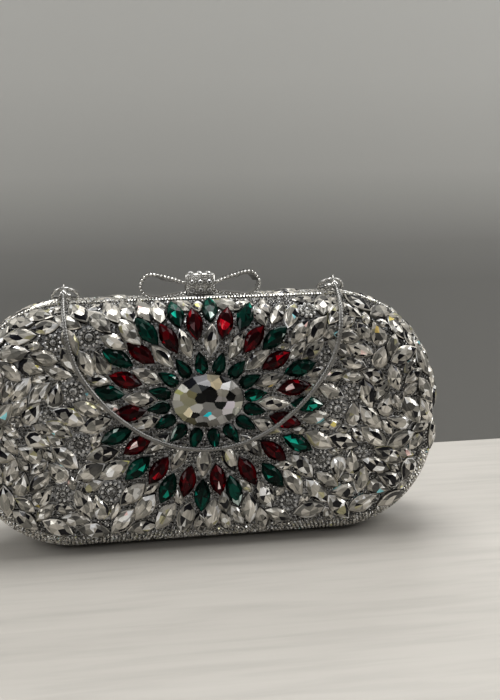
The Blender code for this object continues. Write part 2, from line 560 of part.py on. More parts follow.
def make_frame(side, word):
    """Metal frame of one half, with its hinge notches and, in front, the slot for the lever."""
    near = SEAM_GAP / 2
    corner = near + HINGE_AXIS_HEIGHT
    section = (
        (near, HINGE_AXIS_HEIGHT),
        (corner, 0),
        (FRAME_DEPTH, 0),
        (FRAME_DEPTH, FRAME_WALL),
        (near + FLANGE_WALL, FRAME_WALL),
        (near + FLANGE_WALL, FLANGE_INSET),
        (near, FLANGE_INSET),
    )
    bm = bmesh.new()
    rings = []
    for depth, inset in section:
        points = outline(inset, BED_ARC_STEPS)
        rings.append([bm.verts.new((x, SEAM_Y + side * depth, z)) for x, z in points])
    for ring, after in zip(rings, rings[1:] + rings[:1]):
        for k in range(len(ring)):
            bm.faces.new((ring[k], ring[k - 1], after[k - 1], after[k]))
    frame = place(smooth(object_from(word + "_frame", bm)), nickel())
    for hand, middle in (("left", -HINGE_PLACE), ("right", HINGE_PLACE)):
        reach = HINGE_LENGTH / 2 + CLEARANCE
        depth = near + FLANGE_WALL + CLEARANCE + LEAF_WALL + CLEARANCE
        ends = sorted((SEAM_Y - side * CUT_OVERRUN, SEAM_Y + side * depth))
        notch = box(
            "_".join((word, hand, "hinge_notch")),
            (middle - reach, ends[0], -CUT_OVERRUN),
            (middle + reach, ends[1], FLANGE_INSET + CUT_OVERRUN))
        combine(frame, tool(notch), "DIFFERENCE")
    if side == FRONT:
        swing = (CASE_HEIGHT - PIVOT_HEIGHT) * sin(CLASP_TRAVEL)
        half = STEM_WALL / 2 + CLEARANCE
        slot = box(
            "lever_slot",
            (-LEVER_WIDTH / 2 - CLEARANCE, front_y(PIVOT_DEPTH + half), PLATE_TOP - CUT_OVERRUN),
            (LEVER_WIDTH / 2 + CLEARANCE, front_y(PIVOT_DEPTH - half - swing), CASE_HEIGHT + CUT_OVERRUN))
        combine(frame, tool(slot), "DIFFERENCE")
    return frame


def make_hinge_leaf(side, word, hand, middle):
    """One leaf of a hinge: a plate behind the flange and every other knuckle of the barrel."""
    name = "_".join((hand, "hinge", word, "leaf"))
    near = SEAM_GAP / 2 + FLANGE_WALL + CLEARANCE
    plate_ends = sorted((SEAM_Y + side * near, SEAM_Y + side * (near + LEAF_WALL)))
    half = HINGE_LENGTH / 2
    leaf = box(name, (middle - half, plate_ends[0], LEAF_FOOT), (middle + half, plate_ends[1], LEAF_HEIGHT))
    place(leaf, nickel())
    pitch = (HINGE_LENGTH + CLEARANCE) / KNUCKLES
    for number in range(0 if side == FRONT else 1, KNUCKLES, 2):
        start = middle - half + number * pitch
        end = start + pitch - CLEARANCE
        knuckle = rod(
            "{}_knuckle_{}".format(name, number), BARREL_RADIUS, end - start,
            ((start + end) / 2, SEAM_Y, HINGE_AXIS_HEIGHT))
        combine(leaf, tool(knuckle), "UNION")
        web_ends = sorted((SEAM_Y + side * BARREL_RADIUS / 2, SEAM_Y + side * (near + LEAF_WALL / 2)))
        web = box(
            "{}_web_{}".format(name, number),
            (start, web_ends[0], HINGE_AXIS_HEIGHT - BARREL_RADIUS / 4),
            (end, web_ends[1], HINGE_AXIS_HEIGHT + BARREL_RADIUS / 2))
        combine(leaf, tool(web), "UNION")
    bore = rod(
        name + "_bore", HINGE_PIN_RADIUS + CLEARANCE, HINGE_LENGTH + 2 * CUT_OVERRUN,
        (middle, SEAM_Y, HINGE_AXIS_HEIGHT))
    return combine(leaf, tool(bore), "DIFFERENCE")


def make_hinges():
    """Both hinges: their front leaves and pins stay with the front half."""
    moving = []
    for hand, middle in (("left", -HINGE_PLACE), ("right", HINGE_PLACE)):
        make_hinge_leaf(FRONT, "front", hand, middle)
        moving.append(make_hinge_leaf(BACK, "back", hand, middle))
        pin = rod(
            hand + "_hinge_pin", HINGE_PIN_RADIUS, HINGE_LENGTH, (middle, SEAM_Y, HINGE_AXIS_HEIGHT))
        place(pin, nickel())
    return moving


def make_bracket():
    """The bracket under the top of the front frame, with an ear on each side of lever and spring."""
    top = PLATE_TOP
    depths = (SEAM_GAP / 2 + FLANGE_WALL + CLEARANCE, FRAME_DEPTH - CLEARANCE)
    half = BRACKET_WIDTH / 2
    bracket = box(
        "clasp_bracket", (-half, front_y(depths[1]), top - BRACKET_WALL), (half, front_y(depths[0]), top))
    place(bracket, nickel())
    left = -LEVER_WIDTH / 2 - CLEARANCE - EAR_WALL / 2
    right = LEVER_WIDTH / 2 + SPRING_SPACE + CLEARANCE + EAR_WALL / 2
    rise = top - PIVOT_HEIGHT - BRACKET_WALL / 2
    ear = (
        (-EAR_WIDTH / 2, rise),
        (-EAR_WIDTH / 2, 0),
        (-EAR_WIDTH / 4, -EAR_WIDTH / 2),
        (EAR_WIDTH / 4, -EAR_WIDTH / 2),
        (EAR_WIDTH / 2, 0),
        (EAR_WIDTH / 2, rise),
    )
    hole = circle(CLASP_PIN_RADIUS + CLEARANCE)
    for word, middle in (("left", left), ("right", right)):
        plate = sideways_plate(
            word + "_ear", (ear, hole), EAR_WALL, (middle, front_y(PIVOT_DEPTH), PIVOT_HEIGHT))
        combine(bracket, tool(plate), "UNION")
    swing = (top - PIVOT_HEIGHT) * sin(CLASP_TRAVEL)
    reach = STEM_WALL / 2 + CLEARANCE
    slot = box(
        "bracket_slot",
        (-LEVER_WIDTH / 2 - CLEARANCE, front_y(PIVOT_DEPTH + reach), top - BRACKET_WALL - CUT_OVERRUN),
        (LEVER_WIDTH / 2 + CLEARANCE, front_y(PIVOT_DEPTH - reach - swing), top + CUT_OVERRUN))
    combine(bracket, tool(slot), "DIFFERENCE")
    length = right - left + EAR_WALL + 2 * CLEARANCE
    pin = rod(
        "clasp_pivot_pin", CLASP_PIN_RADIUS, length,
        ((left + right) / 2, front_y(PIVOT_DEPTH), PIVOT_HEIGHT))
    place(pin, nickel())


def make_lever():
    """The lever: a stem up to the bow, a hub on the pin and an arm with a nose behind the strike."""
    stem = STEM_WALL / 2
    top = CASE_HEIGHT + STEM_RISE - PIVOT_HEIGHT
    lip = SEAM_GAP / 2 + FLANGE_WALL + CLEARANCE + BRACKET_WALL
    nose = PIVOT_DEPTH + lip + CLEARANCE
    nose_top = PLATE_TOP - BRACKET_WALL - STRIKE_DROP - NOSE_CLEARANCE - PIVOT_HEIGHT
    arm_low = -HUB_RADIUS / 2
    shape = (
        (-stem, top),
        (-stem, HUB_RADIUS),
        (-HUB_RADIUS, stem),
        (-HUB_RADIUS, -stem),
        (-stem, -HUB_RADIUS),
        (stem, -HUB_RADIUS),
        (HUB_RADIUS, arm_low),
        (nose + NOSE_WALL, arm_low),
        (nose + NOSE_WALL, nose_top),
        (nose, nose_top),
        (nose, arm_low + ARM_WALL),
        (HUB_RADIUS, arm_low + ARM_WALL),
        (stem, HUB_RADIUS),
        (stem, top),
    )
    hole = circle(CLASP_PIN_RADIUS + CLEARANCE)
    lever = sideways_plate(
        "clasp_lever", (shape, hole), LEVER_WIDTH, (0, front_y(PIVOT_DEPTH), PIVOT_HEIGHT))
    return place(lever, nickel())


def make_clasp_spring():
    """A torsion spring on the pin: one leg under the lever's arm, the other up under the plate."""
    start_x = LEVER_WIDTH / 2 + CLEARANCE + 2 * SPRING_WIRE_RADIUS
    arm_low = -HUB_RADIUS / 2
    under = arm_low - CLEARANCE - SPRING_WIRE_RADIUS
    points = [(LEVER_WIDTH / 4, SPRING_LEG, under), (start_x, SPRING_LEG, under)]
    turns = 9 / 4
    steps = round(turns * RING_STEPS)
    for step in range(steps + 1):
        turned = step / steps * turns
        angle = -pi / 2 - 2 * pi * turned
        points.append((
            start_x + SPRING_PITCH * turned, SPRING_RADIUS * cos(angle), SPRING_RADIUS * sin(angle)))
    rise = PLATE_TOP - BRACKET_WALL - PIVOT_HEIGHT - CLEARANCE
    points.append((start_x + SPRING_PITCH * turns, -SPRING_RADIUS, rise))
    offset = Vector((0, front_y(PIVOT_DEPTH), PIVOT_HEIGHT))
    spring = wire(
        "clasp_spring", [Vector(point) + offset for point in points], SPRING_WIRE_RADIUS, resolution=1)
    return place(spring, nickel())


def make_strike():
    """The strike plate under the top of the back frame, with the lip that the nose passes."""
    near = SEAM_GAP / 2 + FLANGE_WALL + CLEARANCE
    low = PLATE_TOP - BRACKET_WALL - STRIKE_DROP
    shape = (
        (near, PLATE_TOP),
        (near, low),
        (near + BRACKET_WALL, low),
        (near + BRACKET_WALL, PLATE_TOP - BRACKET_WALL),
        (FRAME_DEPTH - CLEARANCE, PLATE_TOP - BRACKET_WALL),
        (FRAME_DEPTH - CLEARANCE, PLATE_TOP),
    )
    strike = sideways_plate("strike_plate", (shape,), STRIKE_WIDTH, (0, SEAM_Y, 0))
    return place(strike, nickel())


def ribbon_loop(name, base):
    """One loop of the bow: a ribbon bent round a smooth path, wide in Y, open in the middle."""
    reach = (BOW_WIDTH - RIBBON_WALL) / 2
    tall = BOW_HEIGHT - RIBBON_WALL
    path = [(across * reach, RIBBON_WALL / 2 + up * tall) for across, up in LOOP_SHARES]
    curve = bpy.data.curves.new(name, "CURVE")
    curve.dimensions = "2D"
    curve.fill_mode = "NONE"
    curve.extrude = BOW_DEPTH / 2
    curve.resolution_u = BOW_STEPS
    spline = curve.splines.new("BEZIER")
    spline.bezier_points.add(len(path) - 1)
    for point, (x, z) in zip(spline.bezier_points, path):
        point.co = (x, z, 0)
        point.handle_left_type = "AUTO"
        point.handle_right_type = "AUTO"
    guide = bpy.data.objects.new(name, curve)
    guide.matrix_world = Matrix.Translation(base) @ Matrix.Rotation(pi / 2, 4, "X")
    loop = mesh_of_curve(guide)
    solid = loop.modifiers.new("ribbon", "SOLIDIFY")
    solid.thickness = RIBBON_WALL
    solid.offset = 0
    solid.use_even_offset = True
    return loop


def make_bow():
    """The bow: a square knot with a ribbon loop on each side, cast in one piece."""
    base = Vector((0, front_y(PIVOT_DEPTH), CASE_HEIGHT + STEM_RISE + CLEARANCE))
    half = Vector((KNOT_WIDTH / 2, KNOT_DEPTH / 2, 0))
    bow = place(box("bow", base - half, base + half + Vector((0, 0, BOW_HEIGHT))), nickel())
    bevel = bow.modifiers.new("rounded", "BEVEL")
    bevel.width = KNOT_BEVEL
    bevel.segments = 1
    right = tool(ribbon_loop("right_loop", base))
    combine(bow, right, "UNION")
    left = right.copy()
    left.data = right.data.copy()
    left.name = "left_loop"
    left.data.transform(Matrix.Scale(-1, 4, (1, 0, 0)))
    left.data.flip_normals()
    combine(bow, tool(left), "UNION")
    return bow


def eye_centre(side):
    """Middle of the lug's eye on one side, where the ring's bar turns."""
    return Vector((side * LUG_PLACE, front_y(LUG_DEPTH), CASE_HEIGHT + EYE_HEIGHT))


def ring_top(side):
    """Middle of the ring's wire at the top of its arch."""
    return eye_centre(side) + RING_RISE * Vector((0, -sin(RING_LEAN), cos(RING_LEAN)))


def cap_direction():
    """The way that a cap and the first of the chain point, forwards and a little down."""
    return Vector((0, -cos(CAP_DIP), -sin(CAP_DIP)))


def chain_start(side):
    """Where the chain comes out of its end cap."""
    return ring_top(side) + (CAP_LOOP_RADIUS + CAP_LENGTH + CLEARANCE) * cap_direction()


def make_lug(hand, side):
    """A lug on top of the front frame: a foot and a short tube for the ring's bar."""
    eye = eye_centre(side)
    bore = RING_WIRE_RADIUS + CLEARANCE
    lug = rod(hand + "_lug", bore + EYE_WALL, LUG_WIDTH, eye)
    place(lug, nickel())
    foot = box(
        hand + "_lug_foot",
        (eye.x - LUG_WIDTH / 2, eye.y - LUG_FOOT_DEPTH / 2, CASE_HEIGHT + CLEARANCE),
        (eye.x + LUG_WIDTH / 2, eye.y + LUG_FOOT_DEPTH / 2, eye.z - bore / 2))
    combine(lug, tool(foot), "UNION")
    hole = rod(hand + "_lug_bore", bore, LUG_WIDTH + 2 * CUT_OVERRUN, eye)
    return combine(lug, tool(hole), "DIFFERENCE")


def make_ring(hand, side):
    """A ring with a straight bar through the lug and an arch for the chain's cap."""
    eye = eye_centre(side)
    points = []
    for step in range(RING_STEPS + 1):
        angle = step / RING_STEPS * pi
        rise = RING_RISE * sin(angle)
        points.append(eye + Vector((
            RING_WIDTH / 2 * cos(angle), -rise * sin(RING_LEAN), rise * cos(RING_LEAN))))
    return place(wire(hand + "_ring", points, RING_WIRE_RADIUS, cyclic=True), nickel())


def make_end_cap(hand, side):
    """A cap on the chain's end: a sleeve with a loop round the ring's wire."""
    middle = ring_top(side)
    along = cap_direction()
    loop = [middle + CAP_LOOP_RADIUS * Vector((0, y, z)) for y, z in circle(1)]
    cap = mesh_of_curve(wire(hand + "_end_cap", loop, CAP_LOOP_WIRE, cyclic=True, resolution=1))
    place(smooth(cap), nickel())
    ends = (middle + CAP_LOOP_RADIUS * along, middle + (CAP_LOOP_RADIUS + CAP_LENGTH) * along)
    sleeve = mesh_of_curve(wire(hand + "_sleeve", ends, CAP_RADIUS))
    return combine(cap, tool(sleeve), "UNION")


def smooth_route(route, step):
    """Points every step along a smooth curve through the route's points."""
    through = [Vector(point) for point in route]
    before = 2 * through[0] - through[1]
    after = 2 * through[-1] - through[-2]
    knots = [before] + through + [after]
    fine = []
    for number in range(1, len(knots) - 2):
        p0, p1, p2, p3 = knots[number - 1:number + 3]
        for part in range(RING_STEPS):
            t = part / RING_STEPS
            fine.append(
                p1 + (p2 - p0) * t / 2 + (2 * p0 - 5 * p1 + 4 * p2 - p3) * t ** 2 / 2
                + (3 * p1 - p0 - 3 * p2 + p3) * t ** 3 / 2)
    fine.append(through[-1])
    points = [fine[0]]
    for spot in fine[1:-1]:
        if (spot - points[-1]).length >= step and (spot - fine[-1]).length >= step / 2:
            points.append(spot)
    points.append(fine[-1])
    return points


def make_chain():
    """The snake chain, hanging in front of the case from cap to cap."""
    right = [chain_start(1)] + [Vector(point) for point in CHAIN_ROUTE]
    left = [Vector((-point.x, point.y, point.z)) for point in reversed(right[:-1])]
    points = smooth_route(right + left, CHAIN_STEP)
    return place(wire("chain", points, CHAIN_RADIUS), nickel())


def bed_at(x, z):
    """Depth of the bed's outer surface at (x, z), and its outward normal on the front half."""
    up = z - CASE_HEIGHT / 2
    beyond_x = max(abs(x) - (CASE_WIDTH / 2 - CORNER_RADIUS), 0)
    beyond_z = max(abs(up) - (CASE_HEIGHT / 2 - CORNER_RADIUS), 0)
    reach = hypot(beyond_x, beyond_z)
    rise = DOME_INSET + BED_OFFSET
    run = DOME_DEPTH + BED_OFFSET
    across = (BAND_INSET + DOME_INSET - CORNER_RADIUS + reach) / rise
    if across <= 0:
        return BED_FACE, Vector((0, -1, 0))
    across = min(across, 1)
    out = (1 - across ** 2) ** 0.5
    outwards = Vector((beyond_x if x > 0 else -beyond_x, 0, beyond_z if up > 0 else -beyond_z)) / reach
    normal = outwards * across / rise + Vector((0, -1, 0)) * out / run
    return DOME_START + run * out, normal.normalized()


def on_bed(angle, distance):
    """Follow the front bed from the motif's middle for a distance, and give the place there."""
    spot = Vector((0, -BED_FACE, MOTIF_HEIGHT))
    along = Vector((cos(angle), 0, sin(angle)))
    radius = 0
    travelled = 0
    normal = Vector((0, -1, 0))
    while travelled < distance:
        radius += TAPE_STEP
        x = radius * cos(angle)
        z = MOTIF_HEIGHT + radius * sin(angle)
        depth, normal = bed_at(x, z)
        after = Vector((x, -depth, z))
        travelled += (after - spot).length
        along = (after - spot).normalized()
        spot = after
    return spot, along, normal


def in_room(shares):
    """Sizes in the motif from their shares of its room."""
    return [share * MOTIF_ROOM for share in shares]


def bed_frame(spot, along, normal, lift=0):
    """Matrix with Y along a stone and Z out of the bed."""
    along = (along - normal * along.dot(normal)).normalized()
    turned = Matrix((along.cross(normal), along, normal)).transposed().to_4x4()
    return Matrix.Translation(spot + Vector((0, SEAM_Y, 0)) + normal * lift) @ turned


def ring_place(angle, ring_shares, lift):
    """Frame of a stone on a ring round the motif: its length points outwards and its top away."""
    wide, tall = in_room(ring_shares)
    across = wide * cos(angle)
    up = tall * sin(angle)
    return bed_frame(*on_bed(atan2(up, across), hypot(across, up)), lift)


def marquise_place(shares, lift):
    """Frame of a coloured stone from its share of a turn and its distance along the bed."""
    turn, distance = shares
    return bed_frame(*on_bed(pi / 2 - 2 * pi * turn, distance * MOTIF_ROOM), lift)


def field_place(across, up, turn):
    """Frame of a clear stone over its place on the front bed."""
    x, rise = in_room((across, up))
    z = MOTIF_HEIGHT + rise
    depth, normal = bed_at(x, z)
    upright = bed_frame(Vector((x, -depth, z)), Vector((0, 0, 1)), normal)
    return upright @ Matrix.Rotation(2 * pi * turn, 4, "Z")


def marquise_outline(sides):
    """Unit outline with a point at each end of Y."""
    half = sides // 2
    right = [(1 - (2 * k / half - 1) ** 2, 2 * k / half - 1) for k in range(half)]
    return right + [(-x, -y) for x, y in right]


def pear_outline(sides):
    """Unit outline with its point at +Y and its round end at -Y."""
    angles = [2 * pi * k / sides for k in range(sides)]
    return [(sin(angle) * sin(angle / 2) / PEAR_BELLY_SHARE, cos(angle)) for angle in angles]


def oval_outline(sides):
    """Unit circle, later scaled to an oval."""
    return [(cos(2 * pi * k / sides), sin(2 * pi * k / sides)) for k in range(sides)]


def add_stone(bm, unit, length, width, levels, matrix):
    """Add a faceted stone to a bmesh: its outline scaled at each level of height and share."""
    rings = []
    for height, share in levels:
        ring = []
        for x, y in unit:
            spot = Vector((x * share * width / 2, y * share * length / 2, height))
            ring.append(bm.verts.new(matrix @ spot))
        rings.append(ring)
    for ring, after in zip(rings, rings[1:]):
        for k in range(len(ring)):
            bm.faces.new((ring[k - 1], ring[k], after[k], after[k - 1]))
    bm.faces.new(rings[0])
    bm.faces.new(rings[-1])


def stone_levels(height, bottom):
    """Bottom, girdle and table of a stone."""
    return ((bottom, BASE_SHARE if bottom == 0 else 1), (height * GIRDLE_SHARE, 1), (height, TABLE_SHARE))


def motif_angle(number, between):
    """Angle of a stone in the motif, clockwise from the top, on or between the green rays."""
    step = 2 * pi / MOTIF_COUNT
    return pi / 2 + MOTIF_TURN - number * step - (step / 2 if between else 0)


def make_marquises(word, places, material):
    """A ring of loose coloured stones, each its own piece in its own setting."""
    length, width, height = in_room(MARQUISE_SIZE_SHARES)
    unit = marquise_outline(STONE_SIDES)
    for number, shares in enumerate(places):
        bm = bmesh.new()
        add_stone(bm, unit, length, width, stone_levels(height, 0), marquise_place(shares, CLEARANCE))
        place(object_from("{}_marquise_{:02d}".format(word, number + 1), bm), material)


def crystal_place(lift):
    """Frame of the large crystal, a little above the middle of its rings."""
    return Matrix.Translation((0, 0, CRYSTAL_RAISE_SHARE * MOTIF_ROOM)) @ ring_place(0, (0, 0), lift)


def make_crystal():
    """The large oval crystal in the middle, over its setting."""
    bm = bmesh.new()
    length, width, height = in_room(CRYSTAL_SIZE_SHARES)
    levels = [(height * up, share) for up, share in CRYSTAL_SHARES]
    spot = crystal_place(SETTING_RISE + CLEARANCE)
    add_stone(bm, oval_outline(CRYSTAL_SIDES), length, width, levels, spot)
    return place(object_from("centre_crystal", bm), crystal_glass())


def discs(matrix, length, width, shares):
    """Discs that stand for a stone where it is compared with others."""
    return [(matrix @ Vector((0, share * length / 2, 0)), radius * width) for share, radius in shares]


def crowded(stone, others):
    """Whether a stone's discs come too near to those of any other stone."""
    for other in others:
        if (stone[0][0] - other[0][0]).length > in_room(MARQUISE_SIZE_SHARES)[0] * 2:
            continue
        for centre, radius in stone:
            if any((centre - spot).length < radius + reach for spot, reach in other):
                return True
    return False


def off_the_bed(unit, length, width, matrix):
    """Whether a stone would reach past the bed's rim or below what the case rests on."""
    half_length, half_width = length / 2 * FIELD_TABLE_SHARE, width / 2 * FIELD_TABLE_SHARE
    table = [matrix @ Vector((x * half_width, y * half_length, FIELD_HEIGHT)) for x, y in unit]
    too_low = min(corner.z for corner in table) < CLEARANCE
    return too_low or SEAM_Y - matrix.translation.y < DOME_START + width / 2


def add_field_stones(bm, side, places, sides, taken):
    """The large clear stones of one half, wherever no coloured stone is in the way."""
    turn_round = Matrix.Translation((0, 2 * SEAM_Y, 0)) @ Matrix.Rotation(pi, 4, "Z")
    for across, up, turn, kind in places:
        length, width = in_room(FIELD_KIND_SHARES[kind])
        matrix = field_place(across, up, turn)
        is_pear = kind >= FIRST_PEAR_KIND
        stone = discs(matrix, length, width, PEAR_DISC_SHARES if is_pear else POINTED_DISC_SHARES)
        unit = pear_outline(sides[1]) if is_pear else marquise_outline(sides[0])
        if off_the_bed(unit, length, width, matrix) or crowded(stone, taken):
            continue
        levels = ((-BED_BITE, 1), (FIELD_HEIGHT, FIELD_TABLE_SHARE))
        add_stone(bm, unit, length, width, levels, turn_round @ matrix if side == BACK else matrix)


def front_set_stones():
    """All that is fused to the front bed: pears, clear stones and the crystal's setting."""
    bm = bmesh.new()
    taken = []
    length, width, height = in_room(MARQUISE_SIZE_SHARES)
    for shares in RED_PLACE_SHARES + GREEN_PLACE_SHARES:
        taken.append(discs(marquise_place(shares, 0), length, width, POINTED_DISC_SHARES))
    length, width, height = in_room(PEAR_SIZE_SHARES)
    levels = ((-BED_BITE, 1), (height, FIELD_TABLE_SHARE))
    for number in range(MOTIF_COUNT):
        spot = ring_place(motif_angle(number, True), PEAR_RING_SHARES, 0)
        add_stone(bm, pear_outline(SET_STONE_SIDES), length, width, levels, spot)
    length, width, height = in_room(CLEAR_SIZE_SHARES)
    levels = ((-BED_BITE, 1), (height, FIELD_TABLE_SHARE))
    for number in range(MOTIF_COUNT):
        spot = ring_place(motif_angle(number, False), INNER_RING_SHARES, 0)
        add_stone(bm, marquise_outline(SET_STONE_SIDES), length, width, levels, spot)
    add_field_stones(bm, FRONT, FRONT_STONE_SHARES, FRONT_FIELD_SIDES, taken)
    levels = ((-BED_BITE, 1), (SETTING_RISE, 1))
    long_way, short_way = (size + 2 * SETTING_RIM for size in in_room(CRYSTAL_SIZE_SHARES[:2]))
    add_stone(bm, oval_outline(CRYSTAL_SIDES), long_way, short_way, levels, crystal_place(0))
    return tool(object_from("front_set_stones", bm))


def make_beds():
    """The stone beds of both halves with the stones that are fused to them."""
    front = bowl("front_stone_bed", FRONT, BED_OFFSET, BED_WALL, DOME_START, BED_ARC_STEPS, BED_DOME_STEPS)
    place(combine(front, front_set_stones(), "UNION", crossing=True), crystal_glass())
    back = bowl("back_stone_bed", BACK, BED_OFFSET, BED_WALL, DOME_START, BED_ARC_STEPS, BED_DOME_STEPS)
    bm = bmesh.new()
    add_field_stones(bm, BACK, BACK_STONE_SHARES, BACK_FIELD_SIDES, [])
    stones = tool(object_from("back_set_stones", bm))
    place(combine(back, stones, "UNION", crossing=True), crystal_glass())
    return back


def hang_on(name, centre, pieces):
    """An empty on a joint's axis, with the pieces that turn about it as its children."""
    axis = bpy.data.objects.new(name, None)
    axis.location = centre
    collection.objects.link(axis)
    bpy.context.view_layer.update()
    for piece in pieces:
        piece.parent = axis
        piece.matrix_parent_inverse = axis.matrix_world.inverted()
    return axis


def main():
    clear_scene()
    make_bowls(FRONT, "front")
    make_frame(FRONT, "front")
    back_half = make_bowls(BACK, "back") + [make_frame(BACK, "back")]
    back_half += make_hinges()
    make_bracket()
    clasp = [make_lever(), make_bow()]
    make_clasp_spring()
    back_half += [make_strike(), make_beds()]
    rings = []
    handle = [make_chain()]
    for hand, side in (("left", -1), ("right", 1)):
        make_lug(hand, side)
        rings.append(make_ring(hand, side))
        handle.append(make_end_cap(hand, side))
    make_crystal()
    make_marquises("red", RED_PLACE_SHARES, red_glass())
    make_marquises("green", GREEN_PLACE_SHARES, green_glass())
    hang_on("case_hinge_axis", (0, SEAM_Y, HINGE_AXIS_HEIGHT), back_half)
    hang_on("clasp_axis", (0, front_y(PIVOT_DEPTH), PIVOT_HEIGHT), clasp)
    handle_axis = hang_on("handle_axis", (0, ring_top(1).y, ring_top(1).z), handle)
    hang_on("ring_axis", (0, eye_centre(1).y, eye_centre(1).z), rings + [handle_axis])


main()
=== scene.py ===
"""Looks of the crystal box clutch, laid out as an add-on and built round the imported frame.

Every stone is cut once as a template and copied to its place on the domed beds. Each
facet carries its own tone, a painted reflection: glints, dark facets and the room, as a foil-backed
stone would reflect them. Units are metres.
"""

import json
from math import atan2, cos, hypot, pi, radians, sin, sqrt

import bpy
import numpy as np
from mathutils import Matrix, Vector


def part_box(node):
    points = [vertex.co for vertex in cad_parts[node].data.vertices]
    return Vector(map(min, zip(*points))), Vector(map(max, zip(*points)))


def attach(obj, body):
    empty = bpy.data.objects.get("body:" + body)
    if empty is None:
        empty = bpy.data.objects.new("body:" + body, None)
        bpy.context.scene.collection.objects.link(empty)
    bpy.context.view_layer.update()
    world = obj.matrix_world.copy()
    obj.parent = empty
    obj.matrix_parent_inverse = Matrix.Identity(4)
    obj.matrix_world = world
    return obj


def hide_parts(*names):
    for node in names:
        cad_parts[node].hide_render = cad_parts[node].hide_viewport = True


bl_info = {
    "name": "Crystal box clutch",
    "version": (1, 0, 0),
    "blender": (4, 5, 0),
    "location": "View3D > Sidebar > Clutch",
    "description": "Builds the looks of a stone-set box clutch round its CAD frame",
    "category": "Add Mesh",
}

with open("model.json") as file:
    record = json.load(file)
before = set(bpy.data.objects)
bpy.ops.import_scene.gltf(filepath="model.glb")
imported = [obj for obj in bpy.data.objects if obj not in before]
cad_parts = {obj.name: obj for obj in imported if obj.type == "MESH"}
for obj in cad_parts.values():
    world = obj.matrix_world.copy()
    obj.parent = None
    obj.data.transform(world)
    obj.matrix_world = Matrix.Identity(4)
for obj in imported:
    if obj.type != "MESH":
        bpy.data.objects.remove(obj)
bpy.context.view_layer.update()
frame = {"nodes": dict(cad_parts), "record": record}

FRONT = -1
BACK = 1

# Case, read from the frame
CASE_LOW, CASE_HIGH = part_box("front_frame")
HALF_WIDTH = (CASE_HIGH.x - CASE_LOW.x) / 2
CASE_HEIGHT = CASE_HIGH.z
SEAM_GAP = 0.0003
SEAM_Y = CASE_HIGH.y + SEAM_GAP / 2
CORNER_SHARE = 0.864
CORNER_RADIUS = CORNER_SHARE * CASE_HEIGHT / 2
EDGE_DEPTH = SEAM_Y - CASE_LOW.y + SEAM_GAP
EDGE_INSET = 0.0012
DOME_RISE = 0.0136
DOME_RUN = 0.0156
FACE_DEPTH = EDGE_DEPTH + DOME_RUN
FACE_INSET = EDGE_INSET + DOME_RISE
BED_WALL = 0.0012
BED_SIDES = 128
BED_STEPS = 14

# Motif of stones
MOTIF_HEIGHT_SHARE = 0.6028
MOTIF_HEIGHT = MOTIF_HEIGHT_SHARE * CASE_HEIGHT
ROOM = CASE_HEIGHT - MOTIF_HEIGHT
MOTIF_TURN = radians(-5)
MOTIF_COUNT = 16
PEAR_RING = (0.488 * ROOM, 0.3935 * ROOM)
INNER_RING = (0.6643 * ROOM, 0.6194 * ROOM)
SETTING_RISE = 0.0013
TAPE_STEP = 0.00025

# Girdle, bevel and crown of a cut stone: rise, scale and half turn
STONE_TIERS = ((0.42, 1.0, False), (0.12, 0.91, False), (0.34, 0.68, True))

# Length, width (as shares of the room over the motif) and height of each kind of clear stone
KINDS = (
    (0.328, 0.163, 0.0030), (0.284, 0.142, 0.0030), (0.236, 0.118, 0.0027), (0.298, 0.175, 0.0030),
    (0.2505, 0.156, 0.0029), (0.189, 0.102, 0.0024), (0.151, 0.090, 0.0021),
)
PEAR_KINDS = (3, 4)
INNER_SIZE = (0.151 * ROOM, 0.326 * ROOM, 0.0029)
PEAR_SIZE = (0.137 * ROOM, 0.241 * ROOM, 0.0027)

# Discs that stand for a stone: share of its half length, and radius as share of its width
POINTED_DISCS = ((0, 0.47), (0.28, 0.4), (-0.28, 0.4), (0.6, 0.27), (-0.6, 0.27), (0.86, 0.1), (-0.86, 0.1))
PEAR_DISCS = ((-0.42, 0.48), (-0.12, 0.45), (0.17, 0.36), (0.45, 0.24), (0.7, 0.14), (-0.72, 0.3))

# The tables of coloured stones, clear stones and clusters were worked out beforehand by a layout script, from
# places read off the photo by eye. Stones were moved apart where they met, and the gaps of the front and the
# whole back were filled at random.

# Coloured stones: share of a turn clockwise from the top, and share of the room along the bed
RED_PLACES = (
    (0.0406, 0.7977), (0.1061, 0.7722), (0.1703, 0.7975), (0.2319, 0.8781), (0.2963, 0.8153),
    (0.3608, 0.8453), (0.4242, 0.8241), (0.4847, 0.8040), (0.5440, 0.8350), (0.6036, 0.8480),
    (0.6676, 0.8104), (0.7345, 0.7780), (0.7995, 0.8362), (0.8580, 0.8171), (0.9192, 0.7443),
    (0.9792, 0.7837),
)
GREEN_PLACES = (
    (0.0108, 0.9353), (0.0730, 0.9217), (0.1348, 0.9202), (0.2019, 0.9834), (0.2626, 1.0127),
    (0.3277, 1.0185), (0.3929, 1.0194), (0.4604, 0.9689), (0.5144, 0.9689), (0.5737, 0.9640),
    (0.6344, 0.9592), (0.6995, 0.9594), (0.7720, 0.9816), (0.8302, 0.9900), (0.8936, 0.9169),
    (0.9497, 0.9340),
)

